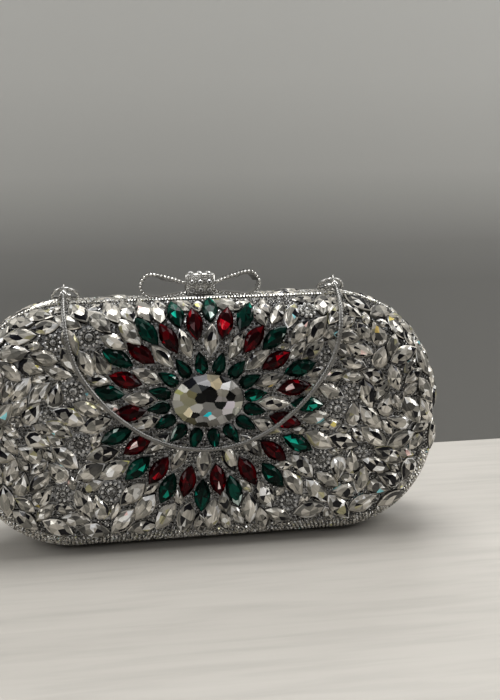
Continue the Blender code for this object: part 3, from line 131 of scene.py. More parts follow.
# Clear stones of the front and the back: across and up from the motif's middle, turn and kind
FRONT_STONES = (
    (0.241, 0.927, 0.151, 0), (-1.228, 0.908, 0.081, 0), (-0.754, 0.904, 0.057, 0),
    (-0.588, 0.903, 0.050, 0), (-0.905, 0.902, 0.055, 0), (1.218, 0.901, 0.474, 0),
    (1.584, 0.897, 0.066, 0), (-0.443, 0.895, 0.010, 0), (-1.615, 0.894, 0.233, 0),
    (-1.026, 0.827, 0.110, 0), (-1.798, 0.824, 0.268, 0), (1.806, 0.800, 0.274, 0),
    (-0.742, 0.728, 0.104, 0), (-1.788, 0.715, 0.265, 0), (1.121, 0.674, 0.395, 0),
    (-2.007, 0.673, 0.459, 0), (-1.862, 0.563, 0.265, 0), (-2.142, 0.453, 0.348, 0),
    (2.016, 0.373, 0.311, 0), (-2.054, 0.304, 0.468, 0), (2.226, 0.298, 0.045, 0),
    (-2.207, 0.226, 0.457, 0), (-2.337, 0.115, 0.142, 0), (-2.144, 0.059, 0.325, 0),
    (1.643, -0.004, 0.043, 0), (2.257, -0.009, 0.094, 0), (-2.021, -0.045, 0.378, 0),
    (-2.347, -0.059, 0.221, 0), (-1.364, -0.082, 0.174, 0), (2.377, -0.098, 0.415, 0),
    (-1.113, -0.174, 0.302, 0), (-2.208, -0.193, 0.488, 0), (2.099, -0.196, 0.082, 0),
    (2.266, -0.221, 0.097, 0), (1.669, -0.251, 0.118, 0), (-2.334, -0.298, 0.001, 0),
    (-2.061, -0.417, 0.199, 0), (1.704, -0.459, 0.141, 0), (1.125, -0.460, 0.162, 0),
    (-1.057, -0.476, 0.278, 0), (-2.251, -0.485, 0.004, 0), (-1.420, -0.490, 0.131, 0),
    (1.384, -0.490, 0.194, 0), (2.346, -0.493, 0.494, 0), (1.984, -0.499, 0.319, 0),
    (-2.368, -0.513, 0.102, 0), (-2.114, -0.618, 0.037, 0), (-0.950, -0.643, 0.330, 0),
    (2.228, -0.649, 0.444, 0), (-1.192, -0.652, 0.326, 0), (1.856, -0.663, 0.172, 0),
    (0.950, -0.719, 0.113, 0), (-2.206, -0.756, 0.112, 0), (1.717, -0.759, 0.183, 0),
    (0.846, -0.891, 0.091, 0), (-2.019, -0.891, 0.007, 0), (-0.783, -0.903, 0.357, 0),
    (-2.248, -0.903, 0.498, 0), (2.146, -0.933, 0.447, 0), (-1.270, -0.976, 0.066, 0),
    (0.554, -0.995, 0.069, 0), (1.097, -0.995, 0.111, 0), (-2.119, -1.018, 0.499, 0),
    (-0.662, -1.042, 0.392, 0), (-1.844, -1.100, 0.127, 0), (0.390, -1.128, 0.002, 0),
    (1.887, -1.136, 0.313, 0), (-0.463, -1.151, 0.400, 0), (1.569, -1.159, 0.318, 0),
    (0.005, -1.168, 0.468, 0), (-1.984, -1.173, 0.437, 0), (-0.891, -1.178, 0.373, 0),
    (-0.262, -1.179, 0.448, 0), (1.322, -1.179, 0.109, 0), (1.012, -1.193, 0.277, 0),
    (-1.533, -1.199, 0.162, 0), (-1.180, -1.255, 0.212, 0), (1.663, -1.279, 0.302, 0),
    (1.864, -1.286, 0.347, 0), (-1.704, -1.293, 0.153, 0), (-1.817, -1.339, 0.030, 0),
    (-0.533, -1.344, 0.262, 0), (0.963, -1.350, 0.135, 0), (-1.299, -1.358, 0.185, 0),
    (1.155, -1.362, 0.094, 0), (0.249, -1.370, 0.346, 0), (1.381, -1.374, 0.362, 0),
    (-0.790, -1.375, 0.187, 0), (0.633, -1.379, 0.354, 0), (-1.022, -1.387, 0.197, 0),
    (-0.018, -1.388, 0.350, 0), (-0.215, -1.389, 0.004, 0), (1.592, -1.399, 0.303, 0),
    (-1.474, -1.402, 0.047, 0), (0.809, -1.410, 0.497, 0), (0.365, -1.448, 0.252, 0),
    (-0.194, 0.930, 0.144, 1), (0.739, 0.841, 0.418, 1), (-1.331, 0.832, 0.175, 1),
    (1.327, 0.816, 0.402, 1), (0.874, 0.811, 0.442, 1), (-1.548, 0.795, 0.274, 1),
    (-1.314, 0.662, 0.064, 1), (0.949, 0.653, 0.399, 1), (1.956, 0.643, 0.044, 1),
    (-0.893, 0.638, 0.173, 1), (1.434, 0.598, 0.222, 1), (-1.564, 0.512, 0.207, 1),
    (1.349, 0.479, 0.151, 1), (-1.337, 0.477, 0.070, 1), (1.073, 0.470, 0.353, 1),
    (1.564, 0.457, 0.186, 1), (-1.177, 0.443, 0.070, 1), (-1.903, 0.403, 0.120, 1),
    (-1.447, 0.370, 0.194, 1), (1.492, 0.315, 0.197, 1), (-1.804, 0.217, 0.389, 1),
    (-1.636, 0.170, 0.369, 1), (1.927, 0.149, 0.045, 1), (1.255, 0.039, 0.185, 1),
    (-1.184, -0.012, 0.181, 1), (-1.471, -0.198, 0.157, 1), (1.089, -0.217, 0.264, 1),
    (-1.954, -0.611, 0.444, 1), (-1.686, -0.719, 0.369, 1), (1.204, -0.885, 0.151, 1),
    (1.563, -0.912, 0.456, 1), (2.223, -0.978, 0.470, 1), (-1.359, -1.127, 0.221, 1),
    (0.687, -1.220, 0.180, 1), (0.519, -1.253, 0.025, 1), (-0.705, -1.257, 0.274, 1),
    (-1.616, -1.417, 0.097, 1), (-0.459, -1.439, 0.395, 1), (1.039, 0.940, 0.215, 2),
    (0.623, 0.905, 0.032, 2), (1.502, 0.837, 0.112, 2), (0.559, 0.821, 0.056, 2),
    (1.415, 0.729, 0.317, 2), (1.994, 0.720, 0.157, 2), (1.611, 0.628, 0.094, 2),
    (2.099, 0.611, 0.153, 2), (1.906, 0.481, 0.456, 2), (0.920, 0.477, 0.375, 2),
    (-2.292, 0.305, 0.021, 2), (-1.063, 0.265, 0.229, 2), (-1.947, 0.208, 0.445, 2),
    (1.303, 0.203, 0.305, 2), (1.491, 0.173, 0.244, 2), (2.124, 0.154, 0.342, 2),
    (-1.831, 0.046, 0.392, 2), (1.797, 0.030, 0.419, 2), (-0.993, -0.001, 0.214, 2),
    (-2.079, -0.241, 0.404, 2), (1.236, -0.301, 0.252, 2), (-1.945, -0.326, 0.091, 2),
    (2.210, -0.382, 0.285, 2), (2.152, -0.529, 0.380, 2), (-1.183, -0.794, 0.310, 2),
    (-1.846, -0.944, 0.141, 2), (-1.452, -1.005, 0.218, 2), (-1.655, -1.037, 0.364, 2),
    (0.139, -1.050, 0.020, 2), (0.264, -1.192, 0.086, 2), (0.138, -1.254, 0.043, 2),
    (-0.122, -1.260, 0.003, 2), (-1.176, -1.448, 0.201, 2), (-0.838, -1.457, 0.257, 2),
    (1.751, 0.608, 0.053, 4), (-1.034, 0.441, 0.066, 4), (-1.692, 0.422, 0.692, 4),
    (1.786, 0.376, 0.940, 4), (1.685, 0.186, 0.183, 4), (-1.486, 0.143, 0.965, 4),
    (2.347, 0.101, 0.487, 4), (-1.717, -0.022, 0.903, 4), (1.834, -0.131, 0.959, 4),
    (1.489, -0.207, 0.998, 4), (-1.676, -0.307, 0.683, 4), (1.959, -0.312, 0.197, 4),
    (-1.766, -0.427, 0.163, 4), (-1.510, -0.627, 0.106, 4), (1.475, -0.715, 0.019, 4),
    (-1.857, -0.721, 0.954, 4), (1.323, -0.770, 0.494, 4), (2.289, -0.786, 0.445, 4),
    (2.058, -0.830, 0.440, 4), (-1.663, -0.867, 0.881, 4), (1.852, -0.912, 0.190, 4),
    (1.749, -1.005, 0.707, 4), (-1.113, -1.016, 0.041, 4), (1.361, -1.023, 0.253, 4),
    (2.084, -1.140, 0.797, 4), (-1.067, 0.943, 0.340, 5), (-1.451, 0.934, 0.250, 5),
    (0.419, 0.931, 0.206, 5), (1.361, 0.931, 0.149, 5), (-0.050, 0.928, 0.004, 5),
    (1.246, 0.631, 0.407, 5), (-1.658, 0.627, 0.236, 5), (-2.148, 0.567, 0.460, 5),
    (2.096, 0.518, 0.039, 5), (2.207, 0.464, 0.250, 5), (2.295, 0.328, 0.451, 5),
    (-1.616, 0.310, 0.295, 5), (2.087, 0.262, 0.381, 5), (1.105, 0.253, 0.318, 5),
    (1.107, 0.150, 0.243, 5), (1.071, 0.035, 0.207, 5), (2.089, 0.015, 0.367, 5),
    (1.952, -0.114, 0.047, 5), (-1.629, -0.192, 0.156, 5), (-1.932, -0.196, 0.138, 5),
    (-1.507, -0.315, 0.162, 5), (-1.117, -0.339, 0.434, 5), (0.920, -0.348, 0.263, 5),
    (1.846, -0.366, 0.095, 5), (1.530, -0.431, 0.104, 5), (-1.585, -0.456, 0.098, 5),
    (-1.825, -0.538, 0.100, 5), (-1.687, -0.581, 0.347, 5), (2.031, -0.646, 0.193, 5),
    (-2.349, -0.670, 0.197, 5), (0.757, -0.702, 0.249, 5), (-0.596, -0.861, 0.346, 5),
    (0.362, -0.895, 0.117, 5), (-0.329, -0.975, 0.018, 5), (-0.967, -1.064, 0.434, 5),
    (1.213, -1.251, 0.062, 5), (0.440, -1.377, 0.259, 5), (-0.612, -1.439, 0.315, 5),
    (0.952, -1.446, 0.304, 5), (-0.316, -1.450, 0.079, 5), (1.100, -1.452, 0.292, 5),
    (1.427, -1.456, 0.205, 5), (0.674, -1.457, 0.203, 5), (1.638, 0.756, 0.003, 6),
    (1.809, 0.703, 0.193, 6), (0.788, 0.525, 0.287, 6), (-1.224, 0.313, 0.059, 6),
    (-1.146, 0.098, 0.134, 6), (-1.880, -0.114, 0.185, 6), (1.380, -0.363, 0.282, 6),
    (1.298, -0.588, 0.227, 6), (-1.370, -0.759, 0.016, 6), (1.921, -0.807, 0.150, 6),
    (1.419, -0.886, 0.199, 6), (0.704, -0.978, 0.351, 6), (2.011, -0.997, 0.387, 6),
    (0.964, -1.077, 0.365, 6), (-1.334, -1.439, 0.099, 6),
)
BACK_STONES = (
    (1.017, 0.931, 0.285, 0), (0.688, 0.931, 0.215, 0), (0.355, 0.931, 0.262, 0),
    (0.012, 0.931, 0.211, 0), (-0.688, 0.931, 0.228, 0), (-1.014, 0.931, 0.273, 0),
    (-1.365, 0.931, 0.224, 0), (1.369, 0.931, 0.209, 0), (-0.346, 0.929, 0.290, 0),
    (-1.673, 0.881, 0.371, 0), (1.675, 0.877, 0.198, 0), (0.542, 0.851, 0.274, 0),
    (-0.812, 0.847, 0.188, 0), (-0.542, 0.846, 0.220, 0), (0.278, 0.839, 0.152, 0),
    (-1.261, 0.831, 0.196, 0), (1.037, 0.820, 0.380, 0), (-1.026, 0.819, 0.142, 0),
    (-0.095, 0.813, 0.008, 0), (0.099, 0.811, 0.148, 0), (-1.464, 0.803, 0.160, 0),
    (-1.658, 0.768, 0.196, 0), (-1.960, 0.735, 0.368, 0), (1.963, 0.732, 0.053, 0),
    (0.533, 0.697, 0.349, 0), (-1.815, 0.680, 0.230, 0), (-0.682, 0.649, 0.007, 0),
    (0.307, 0.647, 0.360, 0), (-1.060, 0.644, 0.071, 0), (0.073, 0.644, 0.099, 0),
    (-1.615, 0.592, 0.353, 0), (-0.116, 0.579, 0.213, 0), (1.687, 0.569, 0.220, 0),
    (-2.047, 0.542, 0.383, 0), (-1.310, 0.528, 0.087, 0), (-2.185, 0.508, 0.479, 0),
    (2.186, 0.507, 0.096, 0), (0.843, 0.506, 0.281, 0), (-1.472, 0.492, 0.485, 0),
    (0.452, 0.455, 0.426, 0), (1.031, 0.432, 0.298, 0), (0.010, 0.428, 0.326, 0),
    (0.614, 0.425, 0.020, 0), (1.548, 0.383, 0.474, 0), (-1.673, 0.365, 0.418, 0),
    (-2.081, 0.342, 0.168, 0), (1.704, 0.328, 0.482, 0), (-2.328, 0.226, 0.441, 0),
    (2.327, 0.225, 0.487, 0), (-2.226, 0.222, 0.004, 0), (0.907, 0.193, 0.451, 0),
    (1.435, 0.182, 0.013, 0), (-2.061, 0.159, 0.325, 0), (2.223, 0.156, 0.450, 0),
    (-1.714, 0.108, 0.425, 0), (2.022, 0.106, 0.068, 0), (1.605, 0.083, 0.062, 0),
    (1.869, 0.047, 0.481, 0), (-1.026, 0.038, 0.152, 0), (-2.293, 0.005, 0.071, 0),
    (-0.726, 0.001, 0.258, 0), (2.263, -0.051, 0.411, 0), (-2.127, -0.053, 0.107, 0),
    (1.265, -0.059, 0.100, 0), (-2.377, -0.082, 0.021, 0), (2.377, -0.087, 0.032, 0),
    (-0.594, -0.120, 0.371, 0), (1.080, -0.131, 0.019, 0), (1.774, -0.178, 0.030, 0),
    (-0.452, -0.214, 0.486, 0), (2.138, -0.260, 0.196, 0), (2.320, -0.260, 0.002, 0),
    (-2.307, -0.263, 0.496, 0), (0.197, -0.265, 0.173, 0), (-0.660, -0.317, 0.220, 0),
    (-1.139, -0.394, 0.179, 0), (-2.206, -0.399, 0.474, 0), (-2.377, -0.437, 0.487, 0),
    (2.377, -0.438, 0.452, 0), (-1.526, -0.443, 0.391, 0), (0.185, -0.443, 0.311, 0),
    (-1.308, -0.451, 0.106, 0), (-0.245, -0.469, 0.108, 0), (-0.566, -0.483, 0.186, 0),
    (-0.769, -0.505, 0.107, 0), (-0.038, -0.536, 0.123, 0), (-2.019, -0.536, 0.076, 0),
    (-1.051, -0.569, 0.186, 0), (0.270, -0.603, 0.439, 0), (-1.744, -0.642, 0.391, 0),
    (1.548, -0.668, 0.135, 0), (-1.440, -0.671, 0.060, 0), (-0.127, -0.685, 0.252, 0),
    (2.227, -0.695, 0.370, 0), (-1.266, -0.724, 0.425, 0), (-2.328, -0.743, 0.054, 0),
    (2.327, -0.746, 0.012, 0), (0.439, -0.790, 0.170, 0), (0.676, -0.798, 0.191, 0),
    (0.131, -0.800, 0.082, 0), (-2.200, -0.804, 0.096, 0), (-2.036, -0.804, 0.499, 0),
    (2.028, -0.810, 0.434, 0), (-1.753, -0.852, 0.410, 0), (0.319, -0.897, 0.089, 0),
    (1.348, -0.947, 0.042, 0), (0.652, -0.956, 0.205, 0), (-1.399, -0.963, 0.035, 0),
    (2.091, -0.967, 0.338, 0), (-2.178, -1.020, 0.015, 0), (2.182, -1.024, 0.415, 0),
    (-1.694, -1.042, 0.452, 0), (-2.041, -1.049, 0.105, 0), (-1.528, -1.060, 0.060, 0),
    (0.494, -1.064, 0.039, 0), (1.562, -1.087, 0.151, 0), (-1.246, -1.114, 0.044, 0),
    (1.951, -1.137, 0.316, 0), (0.664, -1.157, 0.385, 0), (1.398, -1.183, 0.204, 0),
    (0.379, -1.190, 0.034, 0), (-1.837, -1.199, 0.052, 0), (0.193, -1.212, 0.159, 0),
    (-1.963, -1.246, 0.124, 0), (1.958, -1.254, 0.436, 0), (-1.370, -1.270, 0.227, 0),
    (1.673, -1.279, 0.156, 0), (-0.898, -1.312, 0.368, 0), (-1.110, -1.333, 0.348, 0),
    (-1.566, -1.345, 0.050, 0), (-0.414, -1.348, 0.342, 0), (0.773, -1.349, 0.168, 0),
    (0.520, -1.350, 0.035, 0), (0.176, -1.360, 0.255, 0), (-1.686, -1.395, 0.117, 0),
    (1.670, -1.398, 0.300, 0), (-0.680, -1.441, 0.288, 0), (-0.004, -1.442, 0.282, 0),
    (-1.020, -1.443, 0.218, 0), (-1.355, -1.443, 0.295, 0), (1.358, -1.446, 0.284, 0),
    (0.347, -1.446, 0.224, 0), (1.026, -1.448, 0.222, 0), (-0.344, -1.448, 0.218, 0),
    (0.683, -1.448, 0.284, 0), (1.178, 0.766, 0.309, 2), (1.828, 0.757, 0.087, 2),
    (1.725, 0.734, 0.014, 2), (-0.867, 0.684, 0.432, 2), (-0.800, 0.551, 0.491, 2),
    (-0.321, 0.544, 0.137, 2), (-0.552, 0.538, 0.341, 2), (2.066, 0.501, 0.148, 2),
    (-1.107, 0.483, 0.062, 2), (1.298, 0.469, 0.305, 2), (0.244, 0.426, 0.076, 2),
    (2.173, 0.375, 0.281, 2), (0.168, 0.324, 0.201, 2), (-1.857, 0.318, 0.338, 2),
    (1.184, 0.295, 0.106, 2), (0.475, 0.281, 0.423, 2), (2.068, 0.271, 0.061, 2),
    (-0.932, 0.245, 0.399, 2), (-0.298, 0.241, 0.150, 2), (0.276, 0.217, 0.271, 2),
    (-0.670, 0.171, 0.102, 2), (0.747, 0.143, 0.068, 2), (0.622, 0.124, 0.444, 2),
    (0.503, 0.115, 0.474, 2), (-0.229, 0.105, 0.239, 2), (-0.035, 0.054, 0.254, 2),
    (0.979, 0.031, 0.484, 2), (0.512, -0.058, 0.216, 2), (-0.026, -0.072, 0.360, 2),
    (-1.236, -0.079, 0.304, 2), (0.921, -0.128, 0.082, 2), (-1.589, -0.138, 0.291, 2),
    (1.620, -0.220, 0.406, 2), (-1.798, -0.236, 0.066, 2), (1.402, -0.256, 0.361, 2),
    (-2.067, -0.289, 0.437, 2), (0.626, -0.312, 0.248, 2), (1.139, -0.361, 0.176, 2),
    (1.819, -0.399, 0.363, 2), (1.946, -0.419, 0.412, 2), (-1.805, -0.419, 0.035, 2),
    (-1.678, -0.435, 0.401, 2), (-0.924, -0.492, 0.087, 2), (-1.871, -0.569, 0.001, 2),
    (2.099, -0.599, 0.234, 2), (-0.961, -0.714, 0.269, 2), (0.823, -0.737, 0.096, 2),
    (-0.312, -0.765, 0.233, 2), (1.196, -0.779, 0.251, 2), (0.998, -0.789, 0.180, 2),
    (0.909, -0.889, 0.266, 2), (-1.920, -0.927, 0.402, 2), (0.093, -0.995, 0.016, 2),
    (1.031, -1.017, 0.138, 2), (0.890, -1.018, 0.134, 2), (-0.303, -1.113, 0.358, 2),
    (-0.880, -1.161, 0.266, 2), (1.073, -1.215, 0.136, 2), (-0.115, -1.338, 0.141, 2),
    (-0.240, -1.365, 0.016, 2), (0.849, 0.847, 0.794, 3), (1.426, 0.821, 0.143, 3),
    (-0.270, 0.794, 0.064, 3), (-0.450, 0.691, 0.732, 3), (0.835, 0.669, 0.740, 3),
    (1.123, 0.589, 0.648, 3), (-1.925, 0.459, 0.276, 3), (-1.540, 0.258, 0.017, 3),
    (-0.057, 0.258, 0.843, 3), (1.100, 0.128, 0.540, 3), (-1.575, 0.001, 0.270, 3),
    (0.124, -0.092, 0.342, 3), (-1.379, -0.245, 0.305, 3), (-0.247, -0.279, 0.585, 3),
    (-0.981, -0.302, 0.247, 3), (0.427, -0.353, 0.118, 3), (1.698, -0.568, 0.250, 3),
    (-1.120, -0.800, 0.046, 3), (-0.028, -0.845, 0.940, 3), (1.690, -0.914, 0.329, 3),
    (-1.108, -1.033, 0.171, 3), (-0.475, -1.159, 0.504, 3), (0.828, -1.204, 0.313, 3),
    (1.242, -1.291, 0.998, 3), (-0.654, -1.305, 0.261, 3), (1.490, -1.344, 0.741, 3),
    (1.275, 0.632, 0.177, 4), (-0.917, 0.478, 0.035, 4), (-0.201, 0.398, 0.839, 4),
    (-0.814, 0.200, 0.996, 4), (0.113, 0.132, 0.601, 4), (0.308, 0.085, 0.301, 4),
    (-1.956, -0.064, 0.071, 4), (0.314, -0.141, 0.291, 4), (0.490, -0.210, 0.300, 4),
    (-1.936, -0.387, 0.503, 4), (1.669, -0.395, 0.441, 4), (2.082, -0.407, 0.062, 4),
    (2.252, -0.463, 0.964, 4), (-2.151, -0.603, 0.998, 4), (0.512, -0.611, 0.597, 4),
    (0.677, -0.618, 0.570, 4), (1.885, -0.673, 0.263, 4), (-0.904, -1.000, 0.451, 4),
    (1.211, -1.011, 0.969, 4), (1.756, -1.047, 0.245, 4), (-0.215, -1.204, 0.303, 4),
    (1.009, -1.344, 0.238, 4), (1.220, 0.900, 0.192, 5), (1.612, 0.798, 0.055, 5),
    (1.590, 0.686, 0.265, 5), (-1.199, 0.670, 0.456, 5), (1.860, 0.639, 0.114, 5),
    (-0.433, 0.473, 0.250, 5), (1.995, 0.431, 0.194, 5), (-0.392, 0.375, 0.357, 5),
    (-1.390, 0.340, 0.000, 5), (1.945, 0.336, 0.076, 5), (-1.022, 0.333, 0.254, 5),
    (-1.276, 0.290, 0.094, 5), (-1.065, 0.216, 0.066, 5), (-1.395, 0.165, 0.047, 5),
    (1.266, 0.114, 0.073, 5), (1.736, 0.077, 0.042, 5), (-0.366, 0.043, 0.242, 5),
    (-0.200, -0.084, 0.156, 5), (-1.400, -0.086, 0.355, 5), (-1.742, -0.096, 0.254, 5),
    (1.460, -0.107, 0.365, 5), (-0.970, -0.160, 0.371, 5), (-1.667, -0.249, 0.142, 5),
    (0.980, -0.297, 0.424, 5), (1.310, -0.395, 0.137, 5), (1.435, -0.407, 0.458, 5),
    (0.648, -0.430, 0.202, 5), (1.202, -0.484, 0.320, 5), (1.518, -0.512, 0.259, 5),
    (1.349, -0.541, 0.134, 5), (0.824, -0.566, 0.354, 5), (-2.278, -0.576, 0.005, 5),
    (-0.301, -0.619, 0.307, 5), (0.911, -0.663, 0.193, 5), (1.725, -0.722, 0.111, 5),
    (-0.748, -0.755, 0.499, 5), (-0.847, -0.817, 0.161, 5), (1.884, -0.823, 0.063, 5),
    (-0.226, -0.875, 0.178, 5), (1.115, -0.896, 0.342, 5), (-0.609, -0.946, 0.460, 5),
    (-0.758, -0.951, 0.479, 5), (-0.202, -0.987, 0.159, 5), (-0.351, -1.006, 0.233, 5),
    (-0.010, -1.063, 0.155, 5), (-0.699, -1.064, 0.472, 5), (-0.639, -1.164, 0.358, 5),
    (-0.011, -1.288, 0.200, 5), (-0.829, -1.403, 0.441, 5), (-0.178, 0.912, 0.455, 6),
    (1.333, 0.736, 0.209, 6), (-1.290, 0.710, 0.354, 6), (1.452, 0.641, 0.100, 6),
    (2.025, 0.605, 0.148, 6), (0.661, 0.594, 0.185, 6), (0.337, 0.506, 0.447, 6),
    (1.875, 0.498, 0.446, 6), (1.408, 0.410, 0.475, 6), (-0.512, 0.382, 0.323, 6),
    (1.837, 0.365, 0.091, 6), (1.291, 0.364, 0.277, 6), (-1.189, 0.344, 0.196, 6),
    (-0.593, 0.267, 0.475, 6), (1.308, 0.252, 0.085, 6), (-0.438, 0.241, 0.431, 6),
    (-1.820, 0.214, 0.216, 6), (-1.172, 0.213, 0.405, 6), (1.798, 0.202, 0.325, 6),
    (-0.539, 0.182, 0.419, 6), (-1.298, 0.162, 0.006, 6), (-0.446, 0.120, 0.261, 6),
    (-1.227, 0.084, 0.367, 6), (-0.527, 0.048, 0.186, 6), (-1.351, 0.031, 0.359, 6),
    (0.653, -0.002, 0.298, 6), (1.382, -0.010, 0.490, 6), (0.801, -0.037, 0.062, 6),
    (2.136, -0.076, 0.028, 6), (-0.354, -0.082, 0.478, 6), (-1.058, -0.083, 0.210, 6),
    (0.729, -0.096, 0.137, 6), (-0.837, -0.119, 0.343, 6), (1.557, -0.136, 0.354, 6),
    (0.672, -0.175, 0.049, 6), (-2.169, -0.186, 0.070, 6), (0.833, -0.188, 0.018, 6),
    (-0.791, -0.207, 0.209, 6), (-0.139, -0.212, 0.089, 6), (-1.531, -0.225, 0.308, 6),
    (1.897, -0.239, 0.467, 6), (0.756, -0.240, 0.018, 6), (0.775, -0.378, 0.210, 6),
    (1.542, -0.401, 0.376, 6), (0.896, -0.408, 0.026, 6), (-0.433, -0.414, 0.241, 6),
    (0.998, -0.419, 0.393, 6), (1.078, -0.471, 0.003, 6), (0.781, -0.479, 0.352, 6),
    (0.968, -0.531, 0.308, 6), (1.967, -0.536, 0.342, 6), (-0.367, -0.542, 0.434, 6),
    (1.247, -0.579, 0.193, 6), (-1.343, -0.582, 0.183, 6), (1.123, -0.590, 0.201, 6),
    (-0.508, -0.615, 0.259, 6), (0.141, -0.616, 0.009, 6), (-1.588, -0.625, 0.351, 6),
    (-0.811, -0.641, 0.266, 6), (1.039, -0.659, 0.003, 6), (1.164, -0.679, 0.276, 6),
    (-0.433, -0.688, 0.242, 6), (1.307, -0.696, 0.290, 6), (-0.663, -0.696, 0.111, 6),
    (1.389, -0.760, 0.473, 6), (-1.899, -0.772, 0.141, 6), (-0.450, -0.803, 0.106, 6),
    (-0.967, -0.823, 0.157, 6), (-0.542, -0.830, 0.108, 6), (-0.666, -0.831, 0.384, 6),
    (2.238, -0.844, 0.184, 6), (-1.249, -0.916, 0.241, 6), (-0.449, -0.935, 0.379, 6),
    (1.916, -0.982, 0.048, 6), (-1.841, -1.036, 0.147, 6), (-1.603, -1.182, 0.192, 6),
    (1.758, -1.184, 0.067, 6), (-0.001, -1.195, 0.243, 6), (-1.054, -1.196, 0.211, 6),
    (1.847, -1.265, 0.409, 6), (-1.699, -1.292, 0.405, 6), (0.393, -1.365, 0.102, 6),
    (-1.403, -1.373, 0.243, 6),
)

# Round clusters: across, up and radius
FRONT_CLUSTERS = (
    (-1.274, -0.365, 0.098), (-0.996, -0.862, 0.112), (-1.466, -0.861, 0.078), (-1.131, 0.692, 0.107),
    (-1.312, 0.169, 0.103), (-1.476, 0.658, 0.088), (1.324, -0.145, 0.098), (1.046, 0.849, 0.093),
    (1.150, -0.658, 0.098), (0.799, -1.091, 0.098), (1.216, 0.385, 0.088), (1.471, 0.023, 0.088),
    (1.570, -0.610, 0.059), (-1.603, -0.064, 0.049),
)
BACK_CLUSTERS = (
    (-0.709, 0.373, 0.104), (0.780, 0.326, 0.095), (0.000, -0.336, 0.109), (-1.560, -0.808, 0.095),
    (1.513, -0.856, 0.099), (-1.891, 0.090, 0.085), (1.986, -0.099, 0.085), (0.236, -1.045, 0.080),
    (-1.135, -0.194, 0.085), (1.229, -0.241, 0.085),
)

# A cluster's middle stone and ground, and where its small stones and grain lie, as shares of its radius
CLUSTER_MIDDLE_SHARE = 0.80
CLUSTER_GROUND_SHARE = 1.9
CLUSTER_ROUND_SHARE = 0.79
CLUSTER_GRAIN_SHARE = 0.52
GRAIN_SIZE = (0.00058, 0.00058, 0.0014)

# Rows of small stones on the outside of the front frame, and what they keep clear of
BAND_ROWS = 6
BOW_CLEAR = 0.0275
LUG_CLEAR = (0.0535, 0.0625)
LUG_FRONT = -0.0055
FOOT_CLEAR = (0.0035, 0.016)
RIM_DEPTH = 0.0082

# Flat navettes there: their pitch and size, how far in they lie, and the spans that they leave free on the top
BAND_STONE_PITCH = 0.0126
BAND_STONE_SIZE = (0.0058, 0.0124, 0.0021)
BAND_STONE_INSET = 0.0036
TOP_BOW_CLEAR = 0.034
TOP_LUG_CLEAR = (0.046, 0.070)

# Lugs, rings and end caps, as they are in the part's source
LUG_PLACE = 0.058
LUG_DEPTH = 0.0042
EYE_HEIGHT = 0.0024
RING_WIDTH = 0.011
RING_RISE = 0.007
RING_LEAN = radians(55)
CAP_LOOP_RADIUS = 0.0016
CAP_LENGTH = 0.0046
CAP_END_GAP = 0.0003
CAP_DIP = radians(26)

# Beads on the rings, and the angle from a ring's top that they leave to the cap's loop
RING_BEADS = 17
RING_BEAD_SIZE = (0.0013, 0.0013, 0.0006)
RING_TOP_CLEAR = 0.42

# Bow: outline of a ribbon loop as shares of its reach and height, and what is set on its loops and knot
LOOP_SHARES = (
    (0.18, 0.50), (0.56, 0.87), (0.87, 1.00), (1.00, 0.50), (0.87, 0.00), (0.56, 0.00), (0.18, 0.20),
)
RIBBON_EDGE = 0.00055
RIBBON_BEAD_SINK = 0.0004
KNOT_BEAD_CLEAR = 0.0068
KNOT_LINING_CLEAR = 0.0065
KNOT_BASE_DROP = 0.0042
KNOT_TOP_SINK = 0.0009
KNOT_GRAIN_DROP = 0.0013
KNOT_COLUMN = 0.0038
KNOT_ROW = 0.0037
KNOT_TOP_ROW = 0.0032
KNOT_STONE_SIZE = (0.0022, 0.0022, 0.0011)
KNOT_RING_RADIUS = 0.0016
KNOT_RING_BEADS = 12
KNOT_RING_SIZE = (0.0008, 0.0008, 0.0006)
KNOT_GRAIN_PITCH = 0.0008
KNOT_GRAIN_SIZE = (0.0009, 0.0009, 0.0004)
KNOT_GRAIN_CLEAR = 0.0019

# Chain: places on the right-hand side, from its cap to the low point, and its sizes
CHAIN_ROUTE = (
    (0.0579, -0.01825, 0.1080),
    (0.0576, -0.02425, 0.1026),
    (0.0569, -0.02785, 0.0950),
    (0.0554, -0.02835, 0.0870),
    (0.0526, -0.02835, 0.0795),
    (0.0480, -0.02835, 0.0720),
    (0.0420, -0.02835, 0.0645),
    (0.0345, -0.02835, 0.0575),
    (0.0255, -0.02835, 0.0512),
    (0.0135, -0.02835, 0.0463),
    (0.0000, -0.02835, 0.0446),
)
CHAIN_RADIUS = 0.0011
CHAIN_STEP = 0.00032
CHAIN_GROOVE = 0.8

# Facet tones, each with its weight. They are painted reflections: on clear stones white glints, dark and mid
# reflections of the room, and rare coloured fire
CLEAR_REFLECTION_TONES = (
    ((0.82, 0.81, 0.78), 2.2),
    ((0.56, 0.53, 0.475), 4.5),
    ((0.35, 0.33, 0.29), 7),
    ((0.19, 0.183, 0.162), 5.5),
    ((0.075, 0.072, 0.066), 3.2),
    ((0.003, 0.003, 0.005), 3.4),
    ((0.34, 0.32, 0.19), 0.5),
    ((0.90, 0.66, 0.20), 0.07),
    ((0.25, 0.62, 0.68), 0.06),
    ((0.78, 0.52, 0.48), 0.07),
)
# Red glass: the deep red is the stones' own colour; darker and brighter facets and the pale last tone are
# painted reflections and glints
RED_GLASS_AND_REFLECTION_TONES = (
    ((0.034, 0.0002, 0.0014), 8),
    ((0.010, 0.0001, 0.0005), 6),
    ((0.085, 0.0004, 0.0024), 3.2),
    ((0.36, 0.001, 0.008), 0.9),
    ((0.80, 0.62, 0.60), 0.15),
)
